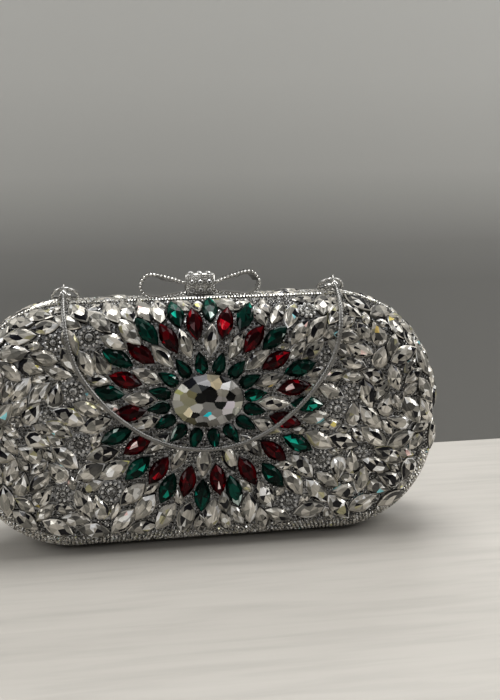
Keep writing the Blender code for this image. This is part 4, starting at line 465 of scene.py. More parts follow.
# Green glass: the deep green is the stones' own colour; darker and brighter facets and the pale last tone are
# painted reflections and glints
GREEN_GLASS_AND_REFLECTION_TONES = (
    ((0.0003, 0.016, 0.011), 8),
    ((0.0002, 0.005, 0.0035), 6),
    ((0.0008, 0.040, 0.027), 3.2),
    ((0.005, 0.27, 0.19), 0.9),
    ((0.66, 0.80, 0.74), 0.15),
)
# Seed stones: painted reflections, from a white glint to near black
SEED_REFLECTION_TONES = (
    ((0.85, 0.84, 0.81), 1.5),
    ((0.30, 0.29, 0.265), 4),
    ((0.10, 0.097, 0.09), 6),
    ((0.015, 0.015, 0.015), 6),
)
# Cluster stones: white painted glints and paler painted reflections
CLUSTER_REFLECTION_TONES = (
    ((1.0, 0.99, 0.96), 5),
    ((0.62, 0.61, 0.58), 3),
    ((0.22, 0.215, 0.20), 1.5),
)
# Metal beads: the plating's own tone, and brighter facets as painted highlights
METAL_AND_HIGHLIGHT_TONES = (
    ((0.86, 0.85, 0.81), 3),
    ((0.46, 0.45, 0.425), 3),
)

# The middle crystal's patches, judged from the photo: place in its oval, and tone
# Their tones are painted reflections: dark and pale patches of the room, white glints and cyan fire
CRYSTAL_REFLECTION_PATCHES = (
    (-0.24, 0.21, (0.008, 0.009, 0.008)), (-0.03, 0.42, (0.004, 0.004, 0.004)),
    (0.11, 0.20, (0.004, 0.004, 0.005)), (-0.14, 0.56, (0.05, 0.055, 0.06)),
    (0.42, 0.27, (0.34, 0.32, 0.275)), (0.36, 0.09, (0.36, 0.34, 0.33)),
    (0.61, 0.18, (0.008, 0.008, 0.008)), (0.35, -0.10, (0.008, 0.012, 0.012)),
    (0.57, -0.20, (0.84, 0.78, 0.84)), (0.55, -0.40, (0.80, 0.77, 0.78)),
    (0.02, -0.22, (0.26, 0.255, 0.24)), (-0.14, -0.40, (0.22, 0.215, 0.205)),
    (0.20, -0.44, (0.31, 0.30, 0.28)), (-0.045, -0.49, (0.03, 0.72, 0.82)),
    (0.03, -0.58, (0.78, 0.82, 0.82)), (-0.10, -0.62, (0.28, 0.28, 0.27)),
    (-0.55, 0.10, (0.32, 0.31, 0.215)), (-0.68, 0.22, (0.34, 0.32, 0.225)),
    (-0.45, 0.29, (0.23, 0.21, 0.12)), (-0.88, 0.24, (0.56, 0.55, 0.49)),
    (-0.90, -0.04, (0.42, 0.41, 0.37)), (-0.57, -0.40, (0.86, 0.78, 0.58)),
    (-0.77, -0.28, (0.36, 0.35, 0.25)), (-0.76, -0.56, (0.30, 0.285, 0.19)),
    (-0.33, -0.28, (0.56, 0.55, 0.52)), (-0.38, -0.46, (0.01, 0.01, 0.01)),
    (-0.25, -0.64, (0.32, 0.32, 0.31)), (-0.50, -0.72, (0.10, 0.092, 0.06)),
    (-0.20, -0.90, (0.03, 0.03, 0.026)), (0.12, -0.80, (0.24, 0.23, 0.21)),
    (0.38, -0.70, (0.46, 0.45, 0.43)), (0.58, -0.62, (0.08, 0.08, 0.072)),
    (0.78, -0.44, (0.40, 0.40, 0.36)), (0.89, -0.22, (0.62, 0.60, 0.52)),
    (0.90, 0.06, (0.15, 0.145, 0.13)), (0.80, 0.34, (0.20, 0.19, 0.17)),
    (0.54, 0.58, (0.95, 0.95, 0.95)), (0.70, 0.54, (0.42, 0.41, 0.39)),
    (0.50, 0.78, (0.015, 0.015, 0.015)), (0.25, 0.70, (0.60, 0.52, 0.37)),
    (0.14, 0.88, (0.36, 0.33, 0.25)), (-0.16, 0.86, (0.30, 0.30, 0.31)),
    (-0.10, 0.70, (0.48, 0.48, 0.50)), (-0.32, 0.50, (0.17, 0.17, 0.16)),
    (-0.52, 0.70, (0.014, 0.016, 0.022)), (-0.73, 0.52, (0.78, 0.77, 0.72)),
    (-0.82, 0.40, (0.46, 0.47, 0.22)),
)

# Stage: brightness of the table's grain, and painted light up the wall, darker at its foot and brighter
# upwards, each as (place, gain), and the lamps
TABLE_STOPS = ((0.30, 0.90), (0.52, 1.0), (0.75, 1.05))
WALL_PAINTED_LIGHT_STOPS = ((0.0, 1.12), (0.14, 1.4), (0.26, 1.95), (0.41, 2.55), (0.74, 3.0), (1.0, 3.1))
LAMPS = (
    ("top_light", (0.05, 0.10, 0.95), (0.5, 0.35), 6.8),
    ("window_light", (0.75, -0.15, 0.60), (0.35, 0.6), 3.6),
    ("left_light", (-0.75, -0.08, 0.50), (0.25, 0.5), 2.2),
    ("front_light", (-0.25, -0.95, 0.70), (0.3, 0.3), 1.4),
    ("back_light", (0.2, 0.8, 0.8), (0.7, 0.4), 4.8),
)
LAMP_AIM = (0, 0, 0.05)

# Camera, fitted to the photo: focal length and width in its pixels, place and angles
PHOTO_FOCAL = 900.67
PHOTO_WIDTH = 500
SENSOR_WIDTH = 36
CAMERA_PLACE = (-0.03005, -0.39593, 0.14167)
CAMERA_YAW = radians(7.45)
CAMERA_DROP = radians(8.54)
CAMERA_ROLL = radians(-1.51)


class ClutchSizes(bpy.types.PropertyGroup):
    """Sizes of what is set on the case."""

    marquise_length: bpy.props.FloatProperty(
        name="Coloured stone length", description="Length of a red or green stone",
        default=0.348 * ROOM, unit="LENGTH")
    marquise_width: bpy.props.FloatProperty(
        name="Coloured stone width", description="Width of a red or green stone",
        default=0.170 * ROOM, unit="LENGTH")
    seed_size: bpy.props.FloatProperty(
        name="Seed stone size", description="Diameter of the small stones between the large ones",
        default=0.00145, unit="LENGTH")
    bead_size: bpy.props.FloatProperty(
        name="Bead size", description="Diameter of the beads on the bow's edges and the rings",
        default=0.0015, unit="LENGTH")


class ClutchColours(bpy.types.PropertyGroup):
    """Colours of the metal, the lining and the stage."""

    metal: bpy.props.FloatVectorProperty(
        name="Metal", description="Plating of frames, bow and chain", subtype="COLOR",
        default=(0.50, 0.49, 0.465))
    satin: bpy.props.FloatVectorProperty(
        name="Satin", description="Lining of the case", subtype="COLOR",
        default=(0.40, 0.39, 0.375))
    table: bpy.props.FloatVectorProperty(
        name="Table", description="Pale top that the clutch stands on", subtype="COLOR",
        default=(0.42, 0.398, 0.362))
    wall: bpy.props.FloatVectorProperty(
        name="Wall", description="Grey wall behind the clutch", subtype="COLOR",
        default=(0.165, 0.165, 0.158))


def sizes():
    return bpy.context.scene.clutch_sizes


def colours():
    return bpy.context.scene.clutch_colours


def new_material(name, roughness, metallic):
    """A node material with its shader's own sockets set."""
    material = bpy.data.materials.new(name)
    material.use_nodes = True
    shader = material.node_tree.nodes["Principled BSDF"]
    shader.inputs["Roughness"].default_value = roughness
    shader.inputs["Metallic"].default_value = metallic
    return material, material.node_tree, shader


def node(tree, kind, **values):
    """Add a node and set its properties or its inputs by name."""
    made = tree.nodes.new(kind)
    for key, value in values.items():
        if key in made.inputs:
            made.inputs[key].default_value = value
        else:
            setattr(made, key, value)
    return made


def object_coordinates(tree):
    return node(tree, "ShaderNodeTexCoord").outputs["Object"]


def ramp(tree, source, stops):
    """A colour ramp over grey or colour stops, each (position, value)."""
    made = node(tree, "ShaderNodeValToRGB")
    elements = made.color_ramp.elements
    while len(elements) < len(stops):
        elements.new(0.5)
    for element, (position, value) in zip(elements, stops):
        element.position = position
        element.color = (value, value, value, 1) if isinstance(value, (int, float)) else (*value, 1)
    tree.links.new(source, made.inputs["Fac"])
    return made


def tinted(colour, *stops):
    """Stops for a ramp of one colour, each made from (position, gain)."""
    return [(position, tuple(min(c * gain, 1) for c in colour)) for position, gain in stops]


def stone_material(name, metallic, roughness, break_up, coat):
    """Foil-backed glass: each facet's painted reflection tone, broken up by painted streaks of inner
    reflection along the stone.
    """
    material, tree, shader = new_material(name, roughness, metallic)
    tone = node(tree, "ShaderNodeAttribute", attribute_name="tone")
    cut = node(tree, "ShaderNodeAttribute", attribute_name="cut")
    # Cells along the stone, multiplied into the tones: painted streaks of inner reflection
    cells = node(tree, "ShaderNodeTexVoronoi", Scale=break_up, Randomness=1.0)
    cells.distance = "MANHATTAN"
    tree.links.new(cut.outputs["Vector"], cells.inputs["Vector"])
    painted_streaks = ramp(tree, cells.outputs["Color"], ((0.0, 0.15), (0.18, 0.8), (0.46, 1.15), (0.84, 2.0)))
    painted_streaks.color_ramp.interpolation = "CONSTANT"
    mix = node(tree, "ShaderNodeMix", data_type="RGBA", blend_type="MULTIPLY")
    mix.inputs["Factor"].default_value = 0.6
    tree.links.new(tone.outputs["Color"], mix.inputs["A"])
    tree.links.new(painted_streaks.outputs["Color"], mix.inputs["B"])
    tree.links.new(mix.outputs["Result"], shader.inputs["Base Color"])
    shader.inputs["Coat Weight"].default_value = coat
    shader.inputs["Coat Roughness"].default_value = 0.03
    shader.inputs["Specular IOR Level"].default_value = coat / 2
    return material


def metal_material(name, colour, roughness, grain):
    """Plated metal with faint smears and hairline wear."""
    material, tree, shader = new_material(name, roughness, 1)
    place = object_coordinates(tree)
    smear = node(tree, "ShaderNodeTexNoise", Scale=grain, Detail=5.0, Roughness=0.6)
    tree.links.new(place, smear.inputs["Vector"])
    shade = ramp(tree, smear.outputs["Fac"], tinted(colour, (0.3, 0.78), (0.7, 1.12)))
    tree.links.new(shade.outputs["Color"], shader.inputs["Base Color"])
    rough = node(tree, "ShaderNodeMapRange")
    rough.inputs["To Min"].default_value = roughness * 0.7
    rough.inputs["To Max"].default_value = roughness * 1.5
    tree.links.new(smear.outputs["Fac"], rough.inputs["Value"])
    tree.links.new(rough.outputs["Result"], shader.inputs["Roughness"])
    scratch = node(tree, "ShaderNodeTexNoise", Scale=grain * 9, Detail=3.0)
    stretch = node(tree, "ShaderNodeMapping")
    stretch.inputs["Scale"].default_value = (0.15, 1, 1)
    tree.links.new(place, stretch.inputs["Vector"])
    tree.links.new(stretch.outputs["Vector"], scratch.inputs["Vector"])
    bump = node(tree, "ShaderNodeBump", Strength=0.12, Distance=0.0001)
    tree.links.new(scratch.outputs["Fac"], bump.inputs["Height"])
    tree.links.new(bump.outputs["Normal"], shader.inputs["Normal"])
    return material


def satin_material(name, colour):
    """Woven satin: fine threads across a soft sheen, with faint puckers."""
    material, tree, shader = new_material(name, 0.42, 0)
    place = object_coordinates(tree)
    thread = node(tree, "ShaderNodeTexWave", Scale=1400.0, Distortion=0.6, Detail=1.0)
    tree.links.new(place, thread.inputs["Vector"])
    pucker = node(tree, "ShaderNodeTexNoise", Scale=70.0, Detail=4.0)
    tree.links.new(place, pucker.inputs["Vector"])
    shade = ramp(tree, pucker.outputs["Fac"], tinted(colour, (0.3, 0.82), (0.72, 1.08)))
    tree.links.new(shade.outputs["Color"], shader.inputs["Base Color"])
    fine = node(tree, "ShaderNodeBump", Strength=0.2, Distance=0.00005)
    broad = node(tree, "ShaderNodeBump", Strength=0.5, Distance=0.0008)
    tree.links.new(thread.outputs["Fac"], fine.inputs["Height"])
    tree.links.new(pucker.outputs["Fac"], broad.inputs["Height"])
    tree.links.new(fine.outputs["Normal"], broad.inputs["Normal"])
    tree.links.new(broad.outputs["Normal"], shader.inputs["Normal"])
    shader.inputs["Sheen Weight"].default_value = 0.35
    shader.inputs["Sheen Roughness"].default_value = 0.3
    return material


def board_material(name, colour):
    """Moulded board of the shells, with a fine pebble."""
    material, tree, shader = new_material(name, 0.6, 0)
    place = object_coordinates(tree)
    pebble = node(tree, "ShaderNodeTexNoise", Scale=900.0, Detail=2.0)
    tree.links.new(place, pebble.inputs["Vector"])
    shade = ramp(tree, pebble.outputs["Fac"], tinted(colour, (0.35, 0.85), (0.65, 1.1)))
    tree.links.new(shade.outputs["Color"], shader.inputs["Base Color"])
    bump = node(tree, "ShaderNodeBump", Strength=0.25, Distance=0.0001)
    tree.links.new(pebble.outputs["Fac"], bump.inputs["Height"])
    tree.links.new(bump.outputs["Normal"], shader.inputs["Normal"])
    return material


def bed_material(name):
    """Metal mesh under the stones, packed with grains too small to model."""
    material, tree, shader = new_material(name, 0.35, 0.9)
    place = object_coordinates(tree)
    grains = node(tree, "ShaderNodeTexVoronoi", Scale=950.0)
    tree.links.new(place, grains.inputs["Vector"])
    shade = ramp(tree, grains.outputs["Color"], ((0.0, 0.10), (0.45, 0.26), (0.8, 0.5), (1.0, 0.8)))
    tree.links.new(shade.outputs["Color"], shader.inputs["Base Color"])
    bump = node(tree, "ShaderNodeBump", Strength=0.9, Distance=0.0004)
    bump.invert = True
    tree.links.new(grains.outputs["Distance"], bump.inputs["Height"])
    tree.links.new(bump.outputs["Normal"], shader.inputs["Normal"])
    return material


def material(name):
    """The finish of this name, made the first time that a piece asks for it."""
    found = bpy.data.materials.get(name)
    if found:
        return found
    metal = tuple(colours().metal)
    makers = {
        "clear_foil": lambda: stone_material("clear_foil", 0.4, 0.19, 1.5, 0.3),
        "red_foil": lambda: stone_material("red_foil", 0.1, 0.14, 1.4, 0.10),
        "green_foil": lambda: stone_material("green_foil", 0.1, 0.14, 1.4, 0.10),
        "crystal_foil": lambda: stone_material("crystal_foil", 0.0, 0.12, 1.2, 0.14),
        "seed_foil": lambda: stone_material("seed_foil", 0.6, 0.18, 1.2, 0.8),
        "bead_foil": lambda: stone_material("bead_foil", 0.9, 0.24, 1.0, 0.0),
        "bed_mesh": lambda: bed_material("bed_mesh"),
        "plate": lambda: metal_material("plate", metal, 0.2, 60.0),
        "chain_plate": lambda: metal_material("chain_plate", tuple(c * 0.46 for c in metal), 0.26, 220.0),
        "dark_plate": lambda: metal_material("dark_plate", tuple(c * 0.30 for c in metal), 0.4, 220.0),
        "steel": lambda: metal_material("steel", (0.5, 0.5, 0.5), 0.3, 120.0),
        "satin": lambda: satin_material("satin", tuple(colours().satin)),
        "board": lambda: board_material("board", (0.22, 0.22, 0.215)),
    }
    return makers[name]()


def deselect():
    if bpy.context.object and bpy.context.object.mode != "OBJECT":
        bpy.ops.object.mode_set(mode="OBJECT")
    bpy.ops.object.select_all(action="DESELECT")


def select_only(thing):
    deselect()
    thing.select_set(True)
    bpy.context.view_layer.objects.active = thing


def finish_piece(thing, body, slot, finish, *replaced):
    """Give a finished piece its material, its body and the nodes that it stands for."""
    thing.data.materials.clear()
    thing.data.materials.append(material(finish))
    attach(thing, body)
    if replaced:
        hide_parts(*replaced)
    return thing


def outline_point(inset, share):
    """Point (x, z) of the case outline at an inset, and its tangent, for a share of the way round."""
    radius = CORNER_RADIUS - inset
    flat_x = HALF_WIDTH - CORNER_RADIUS
    flat_z = CASE_HEIGHT / 2 - CORNER_RADIUS
    arc = CORNER_RADIUS * pi / 2
    spans = (2 * flat_z, arc, 2 * flat_x, arc) * 2
    total = sum(spans)
    travelled = share % 1 * total
    number = 0
    while travelled > spans[number] and number < 7:
        travelled -= spans[number]
        number += 1
    corner_x = (1, 1, -1, -1, -1, -1, 1, 1)[number]
    corner_z = (0, 1, 1, 1, 0, -1, -1, -1)[number]
    middle = CASE_HEIGHT / 2
    if number in (1, 3, 5, 7):
        angle = (number // 2) * pi / 2 + travelled / arc * pi / 2
        x = corner_x * flat_x + radius * cos(angle)
        z = middle + corner_z * flat_z + radius * sin(angle)
        return x, z, Vector((-sin(angle), 0, cos(angle)))
    if number == 0:
        return flat_x + radius, middle - flat_z + travelled, Vector((0, 0, 1))
    if number == 2:
        return flat_x - travelled, middle + flat_z + radius, Vector((-1, 0, 0))
    if number == 4:
        return -flat_x - radius, middle + flat_z - travelled, Vector((0, 0, -1))
    return -flat_x + travelled, middle - flat_z - radius, Vector((1, 0, 0))


OUTLINE_LENGTH = 4 * (HALF_WIDTH - CORNER_RADIUS + CASE_HEIGHT / 2 - CORNER_RADIUS) + 2 * pi * CORNER_RADIUS


def tape_table():
    """Arc lengths along the dome's quarter ellipse, from the rim to the flat face."""
    angles = np.linspace(0, pi / 2, 400)
    across = DOME_RISE * (1 - np.cos(angles))
    out = DOME_RUN * np.sin(angles)
    steps = np.hypot(np.diff(across), np.diff(out))
    return angles, np.concatenate([[0], np.cumsum(steps)])


TAPE_ANGLES, TAPE_LENGTHS = tape_table()
TAPE_END = TAPE_LENGTHS[-1]


def bed_at(x, z):
    """Depth of the bed under (x, z) and its outward normal on the front half."""
    up = z - CASE_HEIGHT / 2
    beyond_x = max(abs(x) - (HALF_WIDTH - CORNER_RADIUS), 0)
    beyond_z = max(abs(up) - (CASE_HEIGHT / 2 - CORNER_RADIUS), 0)
    reach = hypot(beyond_x, beyond_z)
    across = (FACE_INSET - CORNER_RADIUS + reach) / DOME_RISE
    if across <= 0:
        return FACE_DEPTH, Vector((0, -1, 0))
    across = min(across, 1)
    out = sqrt(1 - across ** 2)
    sideways = Vector((beyond_x if x > 0 else -beyond_x, 0, beyond_z if up > 0 else -beyond_z)) / reach
    normal = sideways * across / DOME_RISE + Vector((0, -1, 0)) * out / DOME_RUN
    return EDGE_DEPTH + DOME_RUN * out, normal.normalized()


def stone_frame(spot, along, normal, lift=0.0):
    """Matrix with Y along the stone and Z out of the bed."""
    along = (along - normal * along.dot(normal)).normalized()
    side = along.cross(normal)
    turned = Matrix((side, along, normal)).transposed().to_4x4()
    return Matrix.Translation(spot + normal * lift) @ turned


def rim_place(share, tape, turn=0.0, lift=0.0):
    """Frame on the front bed at a share of the way round and a tape distance from the rim."""
    angle = float(np.interp(tape, TAPE_LENGTHS, TAPE_ANGLES))
    inset = EDGE_INSET + DOME_RISE * (1 - cos(angle)) + max(tape - TAPE_END, 0)
    x, z, tangent = outline_point(inset, share)
    depth, normal = bed_at(x, z)
    matrix = stone_frame(Vector((x, SEAM_Y - depth, z)), tangent, normal, lift)
    return matrix @ Matrix.Rotation(turn, 4, "Z")


def face_place(x, z, turn=0.0, lift=0.0):
    """Frame on the front bed over (x, z), turned about its normal."""
    depth, normal = bed_at(x, z)
    matrix = stone_frame(Vector((x, SEAM_Y - depth, z)), Vector((0, 0, 1)), normal, lift)
    return matrix @ Matrix.Rotation(turn, 4, "Z")


def polar_place(angle, distance, lift=0.0):
    """Frame of a stone at an angle and a tape distance from the motif's middle, pointing outwards."""
    spot = Vector((0, -FACE_DEPTH, MOTIF_HEIGHT))
    along = Vector((cos(angle), 0, sin(angle)))
    normal = Vector((0, -1, 0))
    radius = 0
    travelled = 0
    while travelled < distance:
        radius += TAPE_STEP
        x = radius * cos(angle)
        z = MOTIF_HEIGHT + radius * sin(angle)
        depth, normal = bed_at(x, z)
        after = Vector((x, -depth, z))
        travelled += (after - spot).length
        along = (after - spot).normalized()
        spot = after
    return stone_frame(spot + Vector((0, SEAM_Y, 0)), along, normal, lift)


def ring_place(number, between, ring):
    """Frame of a stone on an oval ring of the motif."""
    angle = motif_angle(number, between)
    across = ring[0] * cos(angle)
    up = ring[1] * sin(angle)
    return polar_place(atan2(up, across), hypot(across, up))


def tabled_places(table):
    """Frames of the coloured stones of one ring."""
    return [polar_place(pi / 2 - 2 * pi * turn, distance * ROOM) for turn, distance in table]


def band_places(pitch):
    """Frames of the rows of small stones round the front frame, clear of hinges, clasp and lugs."""
    places = []
    for row in range(BAND_ROWS):
        y = CASE_LOW.y + pitch * (0.55 + row)
        count = int(OUTLINE_LENGTH / (pitch * 1.02))
        for number in range(count):
            x, z, tangent = outline_point(0, (number + 0.5 * (row % 2)) / count)
            outwards = Vector((0, 1, 0)).cross(tangent)
            under_bow = z > CASE_HEIGHT / 2 and abs(x) < BOW_CLEAR
            by_lug = z > CASE_HEIGHT / 2 and LUG_CLEAR[0] < abs(x) < LUG_CLEAR[1] and y > LUG_FRONT
            low_down = z < FOOT_CLEAR[0 if row < BAND_ROWS / 2 else 1]
            if not (under_bow or by_lug or low_down):
                places.append(stone_frame(Vector((x, y, z)), tangent, outwards, -0.0001))
    count = int(OUTLINE_LENGTH / (pitch * 0.9))
    for number in range(count):
        x, z, tangent = outline_point(0.0001, number / count)
        slant = Vector((0, 1, 0)).cross(tangent) + Vector((0, -1, 0))
        if z > 0.005:
            spot = Vector((x, CASE_LOW.y - 0.0001, z))
            places.append(stone_frame(spot, tangent, slant.normalized(), -0.0002))
    return places


def band_stones():
    """Flat navettes along the outside of the front frame, above the lower part of the case."""
    places = []
    count = round(OUTLINE_LENGTH / BAND_STONE_PITCH)
    for number in range(count):
        x, z, tangent = outline_point(0, (number + 0.5) / count)
        on_top = z > CASE_HEIGHT - 0.004
        in_free_span = abs(x) < TOP_BOW_CLEAR or TOP_LUG_CLEAR[0] < abs(x) < TOP_LUG_CLEAR[1]
        if z > 0.42 * CASE_HEIGHT and not (on_top and in_free_span):
            outwards = Vector((0, 1, 0)).cross(tangent)
            matrix = stone_frame(Vector((x, CASE_LOW.y + BAND_STONE_INSET, z)), tangent, outwards, -0.0004)
            places.append((matrix, BAND_STONE_SIZE))
    return places


def near_lower_rim(x, z):
    """Whether a place belongs to the rows of small stones along the lower rim."""
    beyond_x = max(abs(x) - (HALF_WIDTH - CORNER_RADIUS), 0)
    beyond_z = max(CORNER_RADIUS - z, 0)
    return z < 0.35 * CASE_HEIGHT and CORNER_RADIUS - hypot(beyond_x, beyond_z) < RIM_DEPTH


def clear_places(table):
    """Frames of one half's clear stones with their kind, without those on the lower rim or in the table."""
    places = []
    for across, up, turn, kind in table:
        if near_lower_rim(across * ROOM, MOTIF_HEIGHT + up * ROOM):
            continue
        matrix = face_place(across * ROOM, MOTIF_HEIGHT + up * ROOM, 2 * pi * turn)
        length, width, height = KINDS[kind]
        reach = Vector((width * ROOM * 0.3, length * ROOM * 0.3))
        corners = ((0, reach.y), (0, -reach.y), (reach.x, 0), (-reach.x, 0))
        if min((matrix @ Vector((x, y, height))).z for x, y in corners) > 0:
            places.append((matrix, kind))
    return places


def motif_angle(number, between):
    step = 2 * pi / MOTIF_COUNT
    return pi / 2 + MOTIF_TURN - number * step - (step / 2 if between else 0)


def to_back(matrix):
    """The same place on the back half."""
    turn_round = Matrix.Translation((0, 2 * SEAM_Y, 0)) @ Matrix.Rotation(pi, 4, "Z")
    return turn_round @ matrix


def cut_template(name, sides, tiers, poke=None, shape=None, splits=0):
    """Cut a stone of unit radius and height from a disc: each tier is (rise, scale, half turn).

    Returns its points, its facets in order round each tier, and how many each tier has.
    """
    deselect()
    bpy.ops.mesh.primitive_circle_add(vertices=sides, radius=1, fill_type="NGON")
    stone = bpy.context.object
    stone.name = name
    bpy.ops.object.mode_set(mode="EDIT")
    bpy.ops.mesh.select_all(action="SELECT")
    heights = [0]
    for rise, scale, half_turn in tiers:
        bpy.ops.mesh.extrude_region_move(TRANSFORM_OT_translate={"value": (0, 0, rise)})
        bpy.ops.transform.resize(value=(scale, scale, 1), center_override=(0, 0, 0))
        if half_turn:
            bpy.ops.transform.rotate(value=pi / sides, orient_axis="Z", center_override=(0, 0, 0))
        heights.append(heights[-1] + rise)
    if poke is not None:
        bpy.ops.mesh.poke(offset=poke)
    bpy.ops.mesh.select_all(action="SELECT")
    bpy.ops.mesh.quads_convert_to_tris(quad_method="SHORTEST_DIAGONAL")
    if splits:
        bpy.ops.mesh.subdivide(number_cuts=splits)
    bpy.ops.mesh.normals_make_consistent(inside=False)
    bpy.ops.object.mode_set(mode="OBJECT")
    order = []
    for facet in stone.data.polygons:
        low = min(stone.data.vertices[k].co.z for k in facet.vertices)
        tier = sum(low > height + 0.0001 for height in heights)
        order.append((tier, atan2(facet.center.y, facet.center.x), tuple(facet.vertices)))
    order.sort()
    points = np.array([shape_point(vertex.co, shape) for vertex in stone.data.vertices], float)
    counts = [sum(entry[0] == tier for entry in order) for tier in range(len(heights))]
    mesh = stone.data
    bpy.data.objects.remove(stone, do_unlink=True)
    bpy.data.meshes.remove(mesh)
    return points, [entry[2] for entry in order], [count for count in counts if count]


def shape_point(spot, shape):
    """Draw a point of a round stone out to a navette or a pear, both one unit wide and long."""
    x, y, z = spot
    radius = hypot(x, y)
    angle = atan2(x, y)
    if shape == "navette":
        share = abs(angle) / pi
        return radius * (1 if x > 0 else -1) * (1 - (2 * share - 1) ** 2), radius * (1 - 2 * share), z
    if shape == "pear":
        return radius * sin(angle) * sin(abs(angle) / 2) / 0.77, radius * cos(angle), z
    return x, y, z


def draw_tones(random, palette, rings, count, shade_and_highlight_gains):
    """Tones of so many stones' facets: neighbours in a ring often share one, as one larger facet. Each ring's
    gain darkens or brightens its tones as painted shade and highlight.
    """
    weights = np.array([weight for tone, weight in palette], float)
    tones = np.array([tone for tone, weight in palette], float)
    parts = []
    for number, size in enumerate(rings):
        picks = random.choice(len(palette), size=(count, size), p=weights / weights.sum())
        fresh = random.uniform(size=(count, size)) < 0.46
        fresh[:, 0] = True
        source = np.maximum.accumulate(np.where(fresh, np.arange(size), 0), axis=1)
        picks = np.take_along_axis(picks, source, axis=1)
        gain = shade_and_highlight_gains[min(number, len(shade_and_highlight_gains) - 1)] * random.uniform(0.88, 1.12, (count, size, 1))
        parts.append(tones[picks] * gain)
    together = np.concatenate(parts, axis=1) * random.uniform(0.78, 1.15, (count, 1, 1))
    return np.clip(together, 0, 1).reshape(-1, 3)


def copy_stones(name, groups, seed):
    """One mesh of many stones. Each group is (cut, places with sizes, palette or tones, gains)."""
    random = np.random.RandomState(seed)
    all_points = []
    all_faces = []
    all_tones = []
    all_cuts = []
    offset = 0
    for (points, faces, rings), places, palette, shade_and_highlight_gains in groups:
        for matrix, size in places:
            turned = np.array(matrix)
            scaled = points * np.array([size[0] / 2, size[1] / 2, size[2]])
            all_points.append(scaled @ turned[:3, :3].T + turned[:3, 3])
            all_cuts.append(points * (2.6, 0.7, 0.5) + random.uniform(0, 90, 3))
            all_faces.extend(tuple(k + offset for k in face) for face in faces)
            offset += len(points)
        if isinstance(palette, np.ndarray):
            all_tones.append(palette)
        else:
            all_tones.append(draw_tones(random, palette, rings, len(places), shade_and_highlight_gains))
    mesh = bpy.data.meshes.new(name)
    mesh.from_pydata(np.concatenate(all_points).tolist(), [], all_faces)
    attribute = mesh.attributes.new("tone", "FLOAT_COLOR", "FACE")
    tones = np.concatenate(all_tones)
    flat = np.concatenate([tones, np.ones((len(tones), 1))], axis=1).astype(np.float32)
    attribute.data.foreach_set("color", flat.ravel())
    attribute = mesh.attributes.new("cut", "FLOAT_VECTOR", "POINT")
    attribute.data.foreach_set("vector", np.concatenate(all_cuts).astype(np.float32).ravel())
    thing = bpy.data.objects.new(name, mesh)
    bpy.context.collection.objects.link(thing)
    return thing


def navette_cut():
    """Long stone: a girdle, a crown of triangles and a table whose small facets carry painted reflections of
    the facets behind it.
    """
    return cut_template("navette_cut", 12, STONE_TIERS, 0.12, "navette")


def pear_cut():
    return cut_template("pear_cut", 12, STONE_TIERS, 0.12, "pear")


def chaton_cut():
    """Small round stone with eight crown facets and a table."""
    return cut_template("chaton_cut", 8, ((0.40, 1.0, False), (0.52, 0.60, True)), 0.08)


def seed_cut():
    """Tiny round stone."""
    return cut_template("seed_cut", 6, ((0.4, 1.0, False), (0.6, 0.5, True)))


def bead_form():
    """Bead: a small low dome for metal edges."""
    return cut_template("bead_form", 8, ((0.5, 0.92, False), (0.36, 0.62, True)), 0.14)


def discs(matrix, length, width, shares):
    """Discs that stand for a stone where the seed stones keep clear of it."""
    return [(*(matrix @ Vector((0, share * length / 2, 0))), radius * width) for share, radius in shares]


def taken(side):
    """Discs of all that is set on one bed, worked out on the front."""
    found = []
    for matrix, kind in clear_places(FRONT_STONES if side == FRONT else BACK_STONES):
        length, width, height = KINDS[kind]
        shares = PEAR_DISCS if kind in PEAR_KINDS else POINTED_DISCS
        found += discs(matrix, length * ROOM, width * ROOM, shares)
    for across, up, radius in FRONT_CLUSTERS if side == FRONT else BACK_CLUSTERS:
        found.append((*face_place(across * ROOM, MOTIF_HEIGHT + up * ROOM).translation, radius * ROOM))
    if side == FRONT:
        for matrix in tabled_places(RED_PLACES) + tabled_places(GREEN_PLACES):
            found += discs(matrix, sizes().marquise_length, sizes().marquise_width, POINTED_DISCS)
        for number in range(MOTIF_COUNT):
            width, length, height = PEAR_SIZE
            found += discs(ring_place(number, True, PEAR_RING), length, width, PEAR_DISCS)
            width, length, height = INNER_SIZE
            found += discs(ring_place(number, False, INNER_RING), length, width, POINTED_DISCS)
        for step in range(-2, 3):
            found.append((*face_place(step * 0.0018, MOTIF_HEIGHT + 0.0008).translation, 0.0122))
    return np.array(found)


def on_side(side, places):
    """Places worked out on the front, turned round to the back where asked."""
    return places if side == FRONT else [(to_back(matrix), size) for matrix, size in places]


def sized(places, size, lift=-0.0004):
    """Pair each place with a size and sink its foot a little into the bed."""
    return [(matrix @ Matrix.Translation((0, 0, lift)), size) for matrix in places]


def circle_places(matrix, radius, count):
    """So many places on a circle round the middle of a frame, turned as it is."""
    found = []
    for number in range(count):
        angle = 2 * pi * number / count
        found.append(matrix @ Matrix.Translation((radius * cos(angle), radius * sin(angle), 0)))
    return found


def half_word(side):
    return "front" if side == FRONT else "back"


def body_of_side(side):
    return "front_half" if side == FRONT else "back_half"


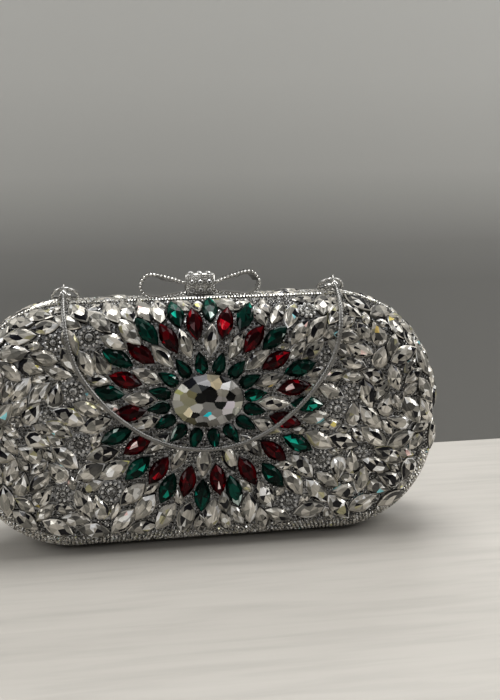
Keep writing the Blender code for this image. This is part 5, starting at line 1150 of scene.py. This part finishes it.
class CLUTCH_OT_beds(bpy.types.Operator):
    """Build the domed beds that carry the stones"""

    bl_idname = "clutch.beds"
    bl_label = "Stone beds"

    def execute(self, context):
        for side in (FRONT, BACK):
            deselect()
            bpy.ops.mesh.primitive_circle_add(vertices=BED_SIDES, radius=1, fill_type="NGON")
            bed = context.object
            bed.name = half_word(side) + "_bed"
            for number, vertex in enumerate(bed.data.vertices):
                x, z, tangent = outline_point(EDGE_INSET, number / BED_SIDES)
                vertex.co = (x, SEAM_Y - EDGE_DEPTH, z)
            bed.data.update()
            faces_back = bed.data.polygons[0].normal.y > 0
            bpy.ops.object.mode_set(mode="EDIT")
            bpy.ops.mesh.select_all(action="SELECT")
            if faces_back:
                bpy.ops.mesh.flip_normals()
            before = 0
            for step in range(1, BED_STEPS + 1):
                angle = step / BED_STEPS * pi / 2
                inwards = DOME_RISE * (cos(before) - cos(angle))
                outwards = DOME_RUN * (sin(angle) - sin(before))
                bpy.ops.mesh.inset(thickness=inwards, depth=outwards, use_even_offset=True)
                before = angle
            bpy.ops.object.mode_set(mode="OBJECT")
            wall = bed.modifiers.new("wall", "SOLIDIFY")
            wall.thickness = BED_WALL
            wall.offset = -1
            wall.use_even_offset = True
            bpy.ops.object.modifier_apply(modifier="wall")
            if side == BACK:
                bed.data.transform(to_back(Matrix.Identity(4)))
            bpy.ops.object.shade_smooth_by_angle(angle=radians(35))
            finish_piece(bed, body_of_side(side), "crystal", "bed_mesh", half_word(side) + "_stone_bed")
        return {"FINISHED"}


class CLUTCH_OT_clear_stones(bpy.types.Operator):
    """Set the large clear stones on both beds"""

    bl_idname = "clutch.clear_stones"
    bl_label = "Clear stones"

    def execute(self, context):
        navette = navette_cut()
        pear = pear_cut()
        # Tier gains: girdle walls darkened as painted shade between stones; bevel, crown and table brightened,
        # the bevel most, as a painted highlight edge
        shade_and_highlight_gains = (0.25, 1.42, 1.24, 1.24)
        for side in (FRONT, BACK):
            groups = []
            places = clear_places(FRONT_STONES if side == FRONT else BACK_STONES)
            for kind, (length, width, height) in enumerate(KINDS):
                chosen = [matrix for matrix, found in places if found == kind]
                stones = sized(chosen, (width * ROOM * 1.12, length * ROOM * 1.06, height))
                cut = pear if kind in PEAR_KINDS else navette
                groups.append((cut, on_side(side, stones), CLEAR_REFLECTION_TONES, shade_and_highlight_gains))
            groups.append((navette, on_side(side, band_stones()), CLEAR_REFLECTION_TONES, shade_and_highlight_gains))
            if side == FRONT:
                inner = [ring_place(number, False, INNER_RING) for number in range(MOTIF_COUNT)]
                groups.append((navette, sized(inner, INNER_SIZE), CLEAR_REFLECTION_TONES, shade_and_highlight_gains))
            thing = copy_stones(half_word(side) + "_clear_stones", groups, 5 - side)
            finish_piece(thing, body_of_side(side), "crystal", "clear_foil")
        return {"FINISHED"}


class CLUTCH_OT_coloured_stones(bpy.types.Operator):
    """Set the red and green navettes and the green pears of the starburst"""

    bl_idname = "clutch.coloured_stones"
    bl_label = "Coloured stones"

    def execute(self, context):
        navette = navette_cut()
        size = (sizes().marquise_width, sizes().marquise_length, 0.0036)
        # Tier gains: darker towards the girdle and brighter towards the table, as painted shade at the rim and
        # painted light in the middle
        shade_and_highlight_gains = (0.25, 0.5, 0.85, 1.2)
        for word, table, palette, seed in (
                ("red", RED_PLACES, RED_GLASS_AND_REFLECTION_TONES, 31), ("green", GREEN_PLACES, GREEN_GLASS_AND_REFLECTION_TONES, 32)):
            stones = sized(tabled_places(table), size)
            thing = copy_stones(word + "_navettes", [(navette, stones, palette, shade_and_highlight_gains)], seed)
            names = ["{}_marquise_{:02d}".format(word, n + 1) for n in range(MOTIF_COUNT)]
            finish_piece(thing, "front_half", word + "_glass", word + "_foil", *names)
        pears = sized([ring_place(number, True, PEAR_RING) for number in range(MOTIF_COUNT)], PEAR_SIZE)
        thing = copy_stones("green_pears", [(pear_cut(), pears, GREEN_GLASS_AND_REFLECTION_TONES, shade_and_highlight_gains)], 33)
        finish_piece(thing, "front_half", "green_glass", "green_foil")
        return {"FINISHED"}


class CLUTCH_OT_crystal(bpy.types.Operator):
    """Cut the oval crystal in the middle and its beaded setting"""

    bl_idname = "clutch.crystal"
    bl_label = "Middle crystal"

    def execute(self, context):
        tiers = ((0.34, 1.11, False), (0.20, 0.88, True), (0.20, 0.86, True), (0.22, 0.62, True))
        cut = cut_template("crystal_cut", 16, tiers, 0.02, splits=9)
        points, facets = cut[:2]
        points[:, :2] /= np.abs(points[:, :2]).max(axis=0)
        # Each facet takes the painted reflection tone of the nearest patch
        patches = np.array([patch[:2] for patch in CRYSTAL_REFLECTION_PATCHES])
        centres = np.array([points[list(facet), :2].mean(axis=0) for facet in facets])
        nearest = np.linalg.norm(centres[:, None] - patches[None], axis=2).argmin(axis=1)
        tones = np.array([CRYSTAL_REFLECTION_PATCHES[number][2] for number in nearest]) ** 1.2
        low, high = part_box("centre_crystal")
        middle = (low + high) / 2
        matrix = face_place(middle.x, middle.z, 0, SETTING_RISE)
        size = (high.x - low.x, high.z - low.z, high.y - low.y)
        crystal = copy_stones("middle_crystal", [(cut, [(matrix, size)], tones, ())], 8)
        finish_piece(crystal, "front_half", "crystal", "crystal_foil", "centre_crystal")
        places = []
        count = 60
        for number in range(count):
            angle = 2 * pi * number / count
            x = middle.x + (size[0] + 0.0012) / 2 * cos(angle)
            z = middle.z + (size[1] + 0.0012) / 2 * sin(angle)
            places.append((face_place(x, z, 0, 0.0003), (0.0010, 0.0010, 0.0010)))
        beads = copy_stones("crystal_setting", [(bead_form(), places, METAL_AND_HIGHLIGHT_TONES, (0.3, 0.6, 0.6))], 9)
        finish_piece(beads, "front_half", "nickel", "bead_foil")
        return {"FINISHED"}


class CLUTCH_OT_seed_stones(bpy.types.Operator):
    """Fill the gaps with seed stones, and set the rim rows"""

    bl_idname = "clutch.seed_stones"
    bl_label = "Seed stones"

    def execute(self, context):
        seed = seed_cut()
        pitch = sizes().seed_size
        for side in (FRONT, BACK):
            random = np.random.RandomState(17 - side)
            candidates = []
            rows = 0
            tape = pitch * 0.75
            while tape < TAPE_END:
                around = OUTLINE_LENGTH - 2 * pi * min(tape * 0.8, CORNER_RADIUS)
                count = int(around / (pitch * 1.02))
                for number in range(count):
                    share = (number + 0.5 * (rows % 2)) / count
                    candidates.append(rim_place(share, tape, random.uniform(0, 1)))
                tape += pitch * 0.92
                rows += 1
            columns = int(2 * (HALF_WIDTH - FACE_INSET) / pitch)
            lines = int((CASE_HEIGHT - 2 * FACE_INSET) / (pitch * 0.88))
            for line in range(lines + 1):
                z = FACE_INSET + line * pitch * 0.88
                for column in range(columns + 1):
                    x = -HALF_WIDTH + FACE_INSET + (column + 0.5 * (line % 2)) * pitch
                    if bed_at(x, z)[1].y < -0.9999:
                        candidates.append(face_place(x, z, random.uniform(0, 1)))
            obstacles = taken(side)
            places = []
            for matrix in candidates:
                distance = np.linalg.norm(obstacles[:, :3] - np.array(matrix.translation), axis=1)
                if (distance - obstacles[:, 3]).min() > pitch * 0.36:
                    places.append(matrix)
            size = pitch * 0.98
            rim = []
            inner = []
            for matrix in places:
                spot = matrix.translation
                (rim if near_lower_rim(spot.x, spot.z) else inner).append(matrix)
            rim = sized(rim, (size, size, 0.0010), -0.0002)
            rim += [(matrix, (size, size, 0.0008)) for matrix in band_places(pitch)]
            inner = sized(inner, (size, size, 0.0010), -0.0002)
            # Tier gains: girdles darkened as painted shade and crowns brightened as painted highlights, the
            # rim rows most
            groups = [
                (seed, on_side(side, inner), SEED_REFLECTION_TONES, (0.3, 1.1)),
                (seed, on_side(side, rim), CLEAR_REFLECTION_TONES, (0.7, 2.0)),
            ]
            thing = copy_stones(half_word(side) + "_seed_stones", groups, 41 - side)
            finish_piece(thing, body_of_side(side), "crystal", "seed_foil")
        return {"FINISHED"}


class CLUTCH_OT_clusters(bpy.types.Operator):
    """Set the round clusters: a stone in a ring of grain, with small stones round it"""

    bl_idname = "clutch.clusters"
    bl_label = "Round clusters"

    def execute(self, context):
        chaton = chaton_cut()
        bead = bead_form()
        for side in (FRONT, BACK):
            middles = []
            grounds = []
            rounds = []
            grain = []
            for across, up, radius in FRONT_CLUSTERS if side == FRONT else BACK_CLUSTERS:
                radius *= ROOM
                matrix = face_place(across * ROOM, MOTIF_HEIGHT + up * ROOM)
                middle = radius * CLUSTER_MIDDLE_SHARE
                middles.append((matrix, (middle, middle, 0.0023)))
                ground = radius * CLUSTER_GROUND_SHARE
                grounds.append((matrix, (ground, ground, 0.0009)))
                count = round(2.6 * radius / 0.001)
                size = 1.42 * pi * radius / count
                for spot in circle_places(matrix, radius * CLUSTER_ROUND_SHARE, count):
                    rounds.append((spot, (size, size, 0.0020)))
                count = round(2 * pi * radius * CLUSTER_GRAIN_SHARE / 0.0006)
                for spot in circle_places(matrix, radius * CLUSTER_GRAIN_SHARE, count):
                    grain.append((spot, GRAIN_SIZE))
            # Tier gains: girdles darkened as painted shade and crowns brightened as painted highlights; the
            # grounds are dark all over
            groups = [
                (chaton, on_side(side, middles), CLUSTER_REFLECTION_TONES, (0.08, 1.0, 0.22)),
                (chaton, on_side(side, rounds), CLUSTER_REFLECTION_TONES, (0.06, 1.1, 0.7)),
                (chaton, on_side(side, grounds), CLUSTER_REFLECTION_TONES, (0.03, 0.03, 0.03)),
            ]
            thing = copy_stones(half_word(side) + "_round_clusters", groups, 51 - side)
            finish_piece(thing, body_of_side(side), "crystal", "seed_foil")
            groups = [(bead, on_side(side, grain), METAL_AND_HIGHLIGHT_TONES, (0.6, 1, 1))]
            thing = copy_stones(half_word(side) + "_cluster_grain", groups, 61 - side)
            finish_piece(thing, body_of_side(side), "nickel", "bead_foil")
        return {"FINISHED"}


def polished(node_name, body, slot, finish, angle=40):
    """A merged, smooth-shaded copy of a CAD piece, which it replaces."""
    deselect()
    source = frame["nodes"][node_name]
    thing = bpy.data.objects.new(node_name + "_polished", source.data.copy())
    bpy.context.collection.objects.link(thing)
    select_only(thing)
    bpy.ops.object.mode_set(mode="EDIT")
    bpy.ops.mesh.select_all(action="SELECT")
    bpy.ops.mesh.remove_doubles(threshold=0.00001)
    bpy.ops.object.mode_set(mode="OBJECT")
    bpy.ops.object.shade_smooth_by_angle(angle=radians(angle))
    return finish_piece(thing, body, slot, finish, node_name)


class CLUTCH_OT_hardware(bpy.types.Operator):
    """Finish frames, hinges, clasp, lugs, rings and linings"""

    bl_idname = "clutch.hardware"
    bl_label = "Hardware and lining"

    def execute(self, context):
        for body, names in frame["record"]["behaviour"]["bodies"].items():
            for name in names:
                if name.endswith("_lining"):
                    polished(name, body, "lining", "satin")
                elif name.endswith("_shell"):
                    polished(name, body, "shell", "board")
                elif name.endswith("_pin") or name == "clasp_spring":
                    polished(name, body, "steel", "steel")
                elif name.endswith(("_frame", "_lug", "_ring", "_leaf", "_bracket", "_lever", "_plate")):
                    polished(name, body, "nickel", "plate")
        return {"FINISHED"}


class CLUTCH_OT_bow(bpy.types.Operator):
    """Finish the bow: ribbon loops with beaded edges and nine stones on the knot"""

    bl_idname = "clutch.bow"
    bl_label = "Bow"

    def execute(self, context):
        polished("bow", "clasp", "nickel", "plate", 50)
        low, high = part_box("bow")
        middle = (low + high) / 2
        bead = bead_form()
        chaton = chaton_cut()
        reach = (high.x - low.x) / 2 - RIBBON_EDGE
        tall = high.z - low.z - 2 * RIBBON_EDGE
        foot = low.z + RIBBON_EDGE
        size = sizes().bead_size
        places = []
        for hand in (-1, 1):
            path = [Vector((hand * across * reach, 0, foot + up * tall)) for across, up in LOOP_SHARES]
            line = through_points(path, size)
            for spot in line:
                if abs(spot.x) < KNOT_BEAD_CLEAR:
                    continue
                for edge, lean in ((low.y + RIBBON_BEAD_SINK, pi / 2), (high.y - RIBBON_BEAD_SINK, -pi / 2)):
                    turned = Matrix.Translation((spot.x, edge, spot.z)) @ Matrix.Rotation(lean, 4, "X")
                    places.append((turned, (size, size, size * 0.62)))
            inner = [spot for spot in line if spot.z > middle.z and abs(spot.x) > KNOT_LINING_CLEAR]
            ribbon_lining(hand, inner, low.y + 0.0006, high.y - 0.0008, middle.z)
        beads = copy_stones("bow_beads", [(bead, places, METAL_AND_HIGHLIGHT_TONES, (0.6, 1, 1))], 71)
        finish_piece(beads, "clasp", "nickel", "bead_foil")
        knot = []
        frames = []
        base = high.z - KNOT_BASE_DROP
        for column in (-1, 0, 1):
            for row in (-1, 0):
                for face, lean in ((low.y, pi / 2), (high.y, -pi / 2)):
                    turn = Matrix.Rotation(lean, 4, "X")
                    x = middle.x + column * KNOT_COLUMN
                    spot = Matrix.Translation((x, face, base + row * KNOT_ROW)) @ turn
                    knot.append((spot, KNOT_STONE_SIZE))
                    for bead_spot in circle_places(spot, KNOT_RING_RADIUS, KNOT_RING_BEADS):
                        frames.append((bead_spot, KNOT_RING_SIZE))
        for column in (-1, 0, 1):
            for row in (-0.7, 0.7):
                x = middle.x + column * KNOT_COLUMN
                spot = Matrix.Translation((x, middle.y + row * KNOT_TOP_ROW, high.z - KNOT_TOP_SINK))
                knot.append((spot, KNOT_STONE_SIZE))
        face_stones = [spot.translation for spot, size in knot[:12]]
        for column in range(-7, 8):
            for row in range(11):
                x = middle.x + KNOT_GRAIN_PITCH * column
                z = high.z - KNOT_GRAIN_DROP - KNOT_GRAIN_PITCH * row
                if min(hypot(x - spot.x, z - spot.z) for spot in face_stones) > KNOT_GRAIN_CLEAR:
                    spot = Matrix.Translation((x, low.y, z)) @ Matrix.Rotation(pi / 2, 4, "X")
                    frames.append((spot, KNOT_GRAIN_SIZE))
        stones = copy_stones("knot_stones", [(chaton, knot, CLUSTER_REFLECTION_TONES, (0.3, 1.1, 0.2))], 72)
        finish_piece(stones, "clasp", "crystal", "seed_foil")
        ring_beads()
        settings = copy_stones("knot_settings", [(bead, frames, METAL_AND_HIGHLIGHT_TONES, (0.6, 1, 1))], 73)
        finish_piece(settings, "clasp", "nickel", "bead_foil")
        return {"FINISHED"}


def ribbon_lining(hand, line, front, back, middle):
    """Inner face of a ribbon loop, which narrows towards the back."""
    count = len(line)
    points = []
    for number, spot in enumerate(line):
        share = number / (count - 1)
        points.append((spot.x, front, spot.z - 0.0002))
        inwards = Vector((hand * 0.0165, 0, middle - 0.0005)) - Vector((spot.x, 0, spot.z))
        drop = (0.0024 - 0.0016 * share) if hand < 0 else 0.0022
        deep = spot + inwards.normalized() * min(drop, inwards.length * 0.7)
        points.append((deep.x, back, deep.z))
    faces = [(2 * k, 2 * k + 1, 2 * k + 3, 2 * k + 2) for k in range(count - 1)]
    mesh = bpy.data.meshes.new("ribbon_lining")
    mesh.from_pydata(points, [], faces)
    thing = bpy.data.objects.new("left_ribbon_lining" if hand < 0 else "right_ribbon_lining", mesh)
    bpy.context.collection.objects.link(thing)
    select_only(thing)
    wall = thing.modifiers.new("wall", "SOLIDIFY")
    wall.thickness = 0.0003
    bpy.ops.object.modifier_apply(modifier="wall")
    bpy.ops.object.shade_smooth_by_angle(angle=radians(40))
    finish_piece(thing, "clasp", "nickel", "dark_plate")


def lug_eye(hand):
    """Middle of a lug's eye, which its ring turns about."""
    return Vector((hand * LUG_PLACE, SEAM_Y - LUG_DEPTH, CASE_HEIGHT + EYE_HEIGHT))


def ring_beads():
    """Beads along both faces of the rings, clear of the caps' loops."""
    places = []
    for hand in (-1, 1):
        for side in (-1, 1):
            normal = Vector((0, -cos(RING_LEAN), -sin(RING_LEAN))) * side
            for number in range(RING_BEADS):
                angle = pi * (number + 0.5) / RING_BEADS
                if abs(angle - pi / 2) < RING_TOP_CLEAR:
                    continue
                rise = RING_RISE * sin(angle)
                across = RING_WIDTH / 2 * cos(angle)
                spot = lug_eye(hand) + Vector((across, -rise * sin(RING_LEAN), rise * cos(RING_LEAN)))
                matrix = stone_frame(spot, Vector((1, 0, 0)), normal, 0.0003)
                places.append((matrix, RING_BEAD_SIZE))
    beads = copy_stones("ring_beads", [(bead_form(), places, METAL_AND_HIGHLIGHT_TONES, (0.5, 1, 1))], 74)
    finish_piece(beads, "rings", "nickel", "bead_foil")


def through_points(knots, step):
    """Points every step along a smooth line through the given places."""
    line = [2 * knots[0] - knots[1]] + list(knots) + [2 * knots[-1] - knots[-2]]
    fine = []
    for number in range(1, len(line) - 2):
        p0, p1, p2, p3 = line[number - 1:number + 3]
        for part in range(60):
            t = part / 60
            fine.append(
                p1 + (p2 - p0) * t / 2 + (2 * p0 - 5 * p1 + 4 * p2 - p3) * t ** 2 / 2
                + (3 * p1 - p0 - 3 * p2 + p3) * t ** 3 / 2)
    fine.append(Vector(knots[-1]))
    points = [fine[0]]
    for spot in fine[1:]:
        if (spot - points[-1]).length >= step:
            points.append(spot)
    return points


class CLUTCH_OT_chain(bpy.types.Operator):
    """Lay the snake chain between its end caps, and polish the caps"""

    bl_idname = "clutch.chain"
    bl_label = "Snake chain"

    def execute(self, context):
        start = Vector(chain_start())
        right = [start] + [Vector(point) for point in CHAIN_ROUTE]
        left = [Vector((-p.x, p.y, p.z)) for p in reversed(right[:-1])]
        points = through_points(right + left, CHAIN_STEP)
        curve = bpy.data.curves.new("snake_chain", "CURVE")
        curve.dimensions = "3D"
        curve.bevel_depth = CHAIN_RADIUS
        curve.bevel_resolution = 2
        curve.use_fill_caps = True
        spline = curve.splines.new("POLY")
        spline.points.add(len(points) - 1)
        for number, (knot, spot) in enumerate(zip(spline.points, points)):
            knot.co = (*spot, 1)
            knot.radius = CHAIN_GROOVE if number % 3 == 2 else 1
        spline.use_smooth = True
        chain = bpy.data.objects.new("snake_chain", curve)
        context.collection.objects.link(chain)
        finish_piece(chain, "handle", "nickel", "chain_plate", "chain")
        for hand in ("left", "right"):
            polished(hand + "_end_cap", "handle", "nickel", "plate", 50)
        return {"FINISHED"}


def chain_start():
    """Where the chain comes out of its right-hand end cap."""
    top = lug_eye(1) + RING_RISE * Vector((0, -sin(RING_LEAN), cos(RING_LEAN)))
    reach = CAP_LOOP_RADIUS + CAP_LENGTH + CAP_END_GAP
    return top + reach * Vector((0, -cos(CAP_DIP), -sin(CAP_DIP)))


def table_material():
    """Pale painted top with a faint grain along it."""
    made, tree, shader = new_material("table_top", 0.55, 0)
    place = object_coordinates(tree)
    stretch = node(tree, "ShaderNodeMapping")
    stretch.inputs["Scale"].default_value = (3, 30, 1)
    stretch.inputs["Rotation"].default_value = (0, 0, radians(6))
    tree.links.new(place, stretch.inputs["Vector"])
    grain = node(tree, "ShaderNodeTexNoise", Scale=5.0, Detail=6.0, Roughness=0.55, Distortion=0.4)
    tree.links.new(stretch.outputs["Vector"], grain.inputs["Vector"])
    shade = ramp(tree, grain.outputs["Fac"], tinted(tuple(colours().table), *TABLE_STOPS))
    tree.links.new(shade.outputs["Color"], shader.inputs["Base Color"])
    bump = node(tree, "ShaderNodeBump", Strength=0.15, Distance=0.0006)
    tree.links.new(grain.outputs["Fac"], bump.inputs["Height"])
    tree.links.new(bump.outputs["Normal"], shader.inputs["Normal"])
    return made


def wall_material():
    """Grey wall with painted light that grows brighter upwards, which can't be seen from behind."""
    made, tree, shader = new_material("wall", 0.8, 0)
    split = node(tree, "ShaderNodeSeparateXYZ")
    tree.links.new(object_coordinates(tree), split.inputs["Vector"])
    rise = node(tree, "ShaderNodeMapRange")
    rise.inputs["From Min"].default_value = -0.90
    rise.inputs["From Max"].default_value = -0.74
    tree.links.new(split.outputs["Y"], rise.inputs["Value"])
    # Painted light: darker at the foot of the wall, brighter upwards
    shade = ramp(tree, rise.outputs["Result"], tinted(tuple(colours().wall), *WALL_PAINTED_LIGHT_STOPS))
    tree.links.new(shade.outputs["Color"], shader.inputs["Base Color"])
    clear = node(tree, "ShaderNodeBsdfTransparent")
    faces = node(tree, "ShaderNodeNewGeometry")
    mix = node(tree, "ShaderNodeMixShader")
    tree.links.new(faces.outputs["Backfacing"], mix.inputs[0])
    tree.links.new(shader.outputs["BSDF"], mix.inputs[1])
    tree.links.new(clear.outputs["BSDF"], mix.inputs[2])
    tree.links.new(mix.outputs["Shader"], tree.nodes["Material Output"].inputs["Surface"])
    return made


def light_stage(context):
    """The lamps, and a soft grey world round them."""
    for name, spot, size, power in LAMPS:
        lamp = bpy.data.lights.new(name, "AREA")
        lamp.shape = "RECTANGLE"
        lamp.size, lamp.size_y = size
        lamp.energy = power
        thing = bpy.data.objects.new(name, lamp)
        thing.location = spot
        aim = Vector(LAMP_AIM) - Vector(spot)
        thing.rotation_euler = aim.to_track_quat("-Z", "Y").to_euler()
        context.collection.objects.link(thing)
    world = bpy.data.worlds.new("studio")
    world.use_nodes = True
    tree = world.node_tree
    background = tree.nodes["Background"]
    direction = node(tree, "ShaderNodeTexCoord")
    split = node(tree, "ShaderNodeSeparateXYZ")
    tree.links.new(direction.outputs["Generated"], split.inputs["Vector"])
    shade = ramp(tree, split.outputs["Z"], ((0.0, (0.30, 0.29, 0.28)), (1.0, (0.62, 0.62, 0.62))))
    tree.links.new(shade.outputs["Color"], background.inputs["Color"])
    background.inputs["Strength"].default_value = 0.5
    context.scene.world = world


def set_camera(context):
    """The camera, where the photo was taken from."""
    camera = bpy.data.cameras.new("photo_view")
    camera.sensor_fit = "HORIZONTAL"
    camera.sensor_width = SENSOR_WIDTH
    camera.lens = SENSOR_WIDTH * PHOTO_FOCAL / PHOTO_WIDTH
    camera.clip_start = 0.01
    thing = bpy.data.objects.new("photo_view", camera)
    level = cos(CAMERA_DROP)
    forward = Vector((sin(CAMERA_YAW) * level, cos(CAMERA_YAW) * level, -sin(CAMERA_DROP)))
    right = forward.cross(Vector((0, 0, 1))).normalized()
    up = right.cross(forward)
    turned_right = right * cos(CAMERA_ROLL) + up * sin(CAMERA_ROLL)
    turned_up = up * cos(CAMERA_ROLL) - right * sin(CAMERA_ROLL)
    turn = Matrix((turned_right, turned_up, -forward)).transposed().to_4x4()
    thing.matrix_world = Matrix.Translation(CAMERA_PLACE) @ turn
    context.collection.objects.link(thing)
    context.scene.camera = thing


class CLUTCH_OT_stage(bpy.types.Operator):
    """Set the table, the wall, the lamps and the camera"""

    bl_idname = "clutch.stage"
    bl_label = "Stage"

    def execute(self, context):
        deselect()
        bpy.ops.mesh.primitive_plane_add(size=4, location=(0, 0, 0))
        table = context.object
        table.name = "table_top"
        table.data.materials.append(table_material())
        bpy.ops.mesh.primitive_plane_add(size=4, location=(0, 0.125, 1.0), rotation=(pi / 2, 0, 0))
        wall = context.object
        wall.name = "wall"
        wall.data.materials.append(wall_material())
        wall.visible_shadow = False
        light_stage(context)
        set_camera(context)
        context.scene.view_settings.view_transform = "Standard"
        return {"FINISHED"}


class CLUTCH_PT_panel(bpy.types.Panel):
    """Lists the steps that build the clutch's looks"""

    bl_label = "Crystal clutch"
    bl_idname = "CLUTCH_PT_panel"
    bl_space_type = "VIEW_3D"
    bl_region_type = "UI"
    bl_category = "Clutch"

    def draw(self, context):
        for operator in OPERATORS:
            self.layout.operator(operator.bl_idname)


OPERATORS = (
    CLUTCH_OT_stage,
    CLUTCH_OT_beds,
    CLUTCH_OT_hardware,
    CLUTCH_OT_bow,
    CLUTCH_OT_chain,
    CLUTCH_OT_crystal,
    CLUTCH_OT_coloured_stones,
    CLUTCH_OT_clear_stones,
    CLUTCH_OT_seed_stones,
    CLUTCH_OT_clusters,
)
CLASSES = (ClutchSizes, ClutchColours, *OPERATORS, CLUTCH_PT_panel)


def register():
    for made in CLASSES:
        bpy.utils.register_class(made)
    bpy.types.Scene.clutch_sizes = bpy.props.PointerProperty(type=ClutchSizes)
    bpy.types.Scene.clutch_colours = bpy.props.PointerProperty(type=ClutchColours)


def unregister():
    del bpy.types.Scene.clutch_colours
    del bpy.types.Scene.clutch_sizes
    for made in reversed(CLASSES):
        bpy.utils.unregister_class(made)


def main():
    register()
    bpy.ops.clutch.stage()
    bpy.ops.clutch.beds()
    bpy.ops.clutch.hardware()
    bpy.ops.clutch.bow()
    bpy.ops.clutch.chain()
    bpy.ops.clutch.crystal()
    bpy.ops.clutch.coloured_stones()
    bpy.ops.clutch.clear_stones()
    bpy.ops.clutch.seed_stones()
    bpy.ops.clutch.clusters()


if __name__ == "__main__":
    main()
